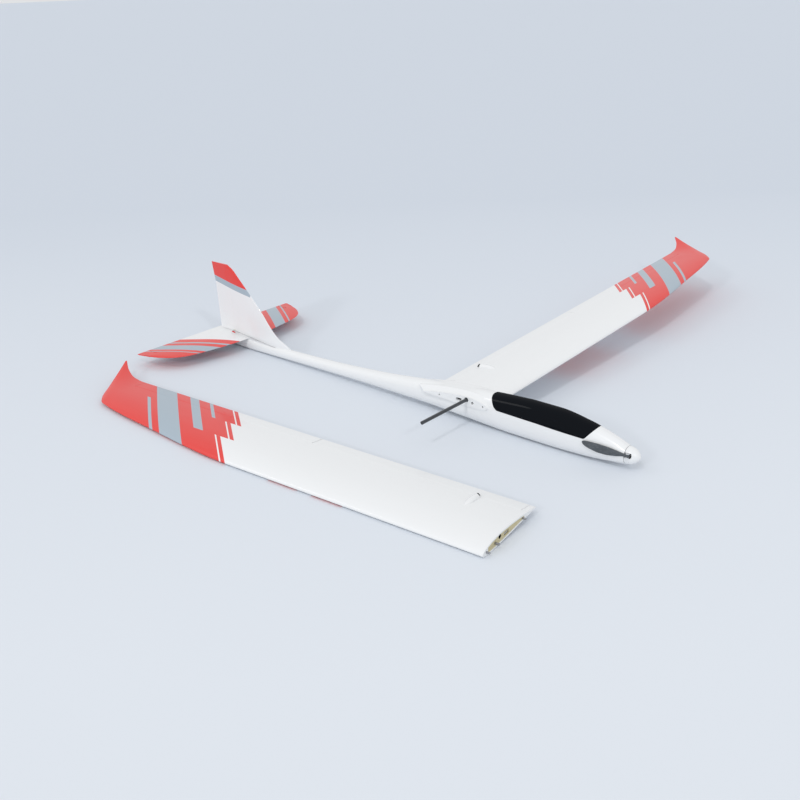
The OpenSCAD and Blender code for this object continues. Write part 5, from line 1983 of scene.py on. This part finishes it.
# ------------------------------------------------------------------ studio
@dataclass
class Studio:
    """Pale floor to the horizon, soft lamps and the camera."""

    floor_r: float = 60.0
    sunk: float = 0.0003
    eye: Point = (1.102, -1.650, 0.964)
    yaw: float = 132.29
    pitch: float = -23.61
    roll: float = -2.17
    lens: float = 44.33

    def floor(self) -> None:
        """A flat disc that reaches the horizon."""
        mesh = bmesh.new()
        rings = []
        for radius in (0.6, 1.2, 2.4, 5.0, 12.0, 30.0, self.floor_r):
            rings.append([mesh.verts.new((x, y, -self.sunk)) for x, y in circle(radius, 72)])
        mesh.faces.new(rings[0])
        for a, b in zip(rings, rings[1:]):
            for k in range(72):
                mesh.faces.new((a[k], b[k], b[(k + 1) % 72], a[(k + 1) % 72]))
        bmesh.ops.recalc_face_normals(mesh, faces=mesh.faces[:])
        data = bpy.data.meshes.new("studio_floor")
        mesh.to_mesh(data)
        mesh.free()
        data.shade_smooth()
        data.materials.append(StudioPaper("studio_paper").painted())
        made = bpy.data.objects.new("studio_floor", data)
        bpy.context.scene.collection.objects.link(made)

    def lamp(self, name: str, towards: Point, strength: float, spread: float) -> None:
        """Adds a distant lamp.

        Args:
            name: the lamp's name.
            towards: direction from the model to the lamp.
            strength: its light in watts per square metre.
            spread: how wide it looks, in degrees.
        """
        data = bpy.data.lights.new(name, "SUN")
        data.energy, data.angle = strength, math.radians(spread)
        made = bpy.data.objects.new(name, data)
        bpy.context.scene.collection.objects.link(made)
        made.rotation_mode = "QUATERNION"
        made.rotation_quaternion = Vector(towards).to_track_quat("Z", "Y")

    def camera(self) -> None:
        """Places the camera by its yaw, pitch and roll."""
        yaw, pitch, roll = (math.radians(a) for a in (self.yaw, self.pitch, self.roll))
        ahead = Vector((math.cos(pitch) * math.cos(yaw), math.cos(pitch) * math.sin(yaw), math.sin(pitch)))
        level = Vector((math.sin(yaw), -math.cos(yaw), 0))
        up = level.cross(ahead)
        right = level * math.cos(roll) + up * math.sin(roll)
        top = up * math.cos(roll) - level * math.sin(roll)
        data = bpy.data.cameras.new("camera")
        data.lens, data.sensor_width = self.lens, 36.0
        data.clip_start, data.clip_end = 0.05, 60.0
        made = bpy.data.objects.new("camera", data)
        bpy.context.scene.collection.objects.link(made)
        spin = Matrix((right, top, -ahead)).transposed()
        made.matrix_world = Matrix.Translation(self.eye) @ spin.to_4x4()
        bpy.context.scene.camera = made

    def build(self) -> None:
        """Makes the studio."""
        self.floor()
        self.camera()
        self.lamp("front_low", (0.06, -0.9, 0.43), 0.32, 5.0)
        self.lamp("front_high", (0.1, -0.575, 0.81), 0.38, 5.0)
        self.lamp("front_right", (0.75, -0.33, 0.57), 0.28, 4.0)
        self.lamp("left", (-0.6, -0.42, 0.68), 0.12, 12.0)
        world = bpy.data.worlds.new("studio_air")
        world.use_nodes = True
        back = world.node_tree.nodes["Background"]
        back.inputs["Color"].default_value = (0.97, 0.985, 1.0, 1)
        back.inputs["Strength"].default_value = 0.78
        bpy.context.scene.world = world
        bpy.context.scene.view_settings.view_transform = "Standard"
        log.info("studio: floor, four lamps and the camera")


def loose_lift(wing: WingPlace, panel: Panel) -> float:
    """Height at which the loose panel just stands on its skin and aileron horn.

    Args:
        wing: how the panel is carried.
        panel: the panel whose horn stands on the floor.

    Returns:
        The height.
    """
    s = wing.section
    tilt = math.radians(wing.loose_tilt)

    def down(x: float, z: float) -> float:
        """Height of a point once tilted."""
        return z * math.cos(tilt) - x * math.sin(tilt)

    skin = min(down(-v, s.height(0, v, -1)) for v in range(0, 61, 4))
    x, _, z = s.hinge(panel.arm_u)
    horn = down(x, z - panel.aileron_arm - EYE_R)
    cover = s.height(panel.servo_u + panel.servo_l, panel.servo_v + panel.servo_w, -1)
    shaft_rise, arm_reach = 4.8, 8.5
    arm = down(-panel.servo_v - panel.servo_w / 2, cover + shaft_rise - arm_reach - EYE_R)
    return 0.1 - min(skin, horn, arm)


def main() -> None:
    """Builds and dresses the sailplane, then the studio."""
    logging.basicConfig(level=logging.INFO, format="%(name)s: %(message)s")
    shop = Workshop()
    section = Section()
    wing = WingPlace(section)
    Fuselage(Hull(), wing, Fin()).build(shop)
    left = Panel("left", section, wing, wing.fitted())
    left.build(shop)
    Panel("right", section, wing, wing.laid(loose_lift(wing, left))).build(shop)
    Stabilizer().build(shop)
    Propeller().build(shop)
    Equipment().build(shop)
    if shop.bare:
        log.warning("nodes without a finish: %s", sorted(shop.bare))
    Studio().build()


if __name__ == "__main__":
    main()
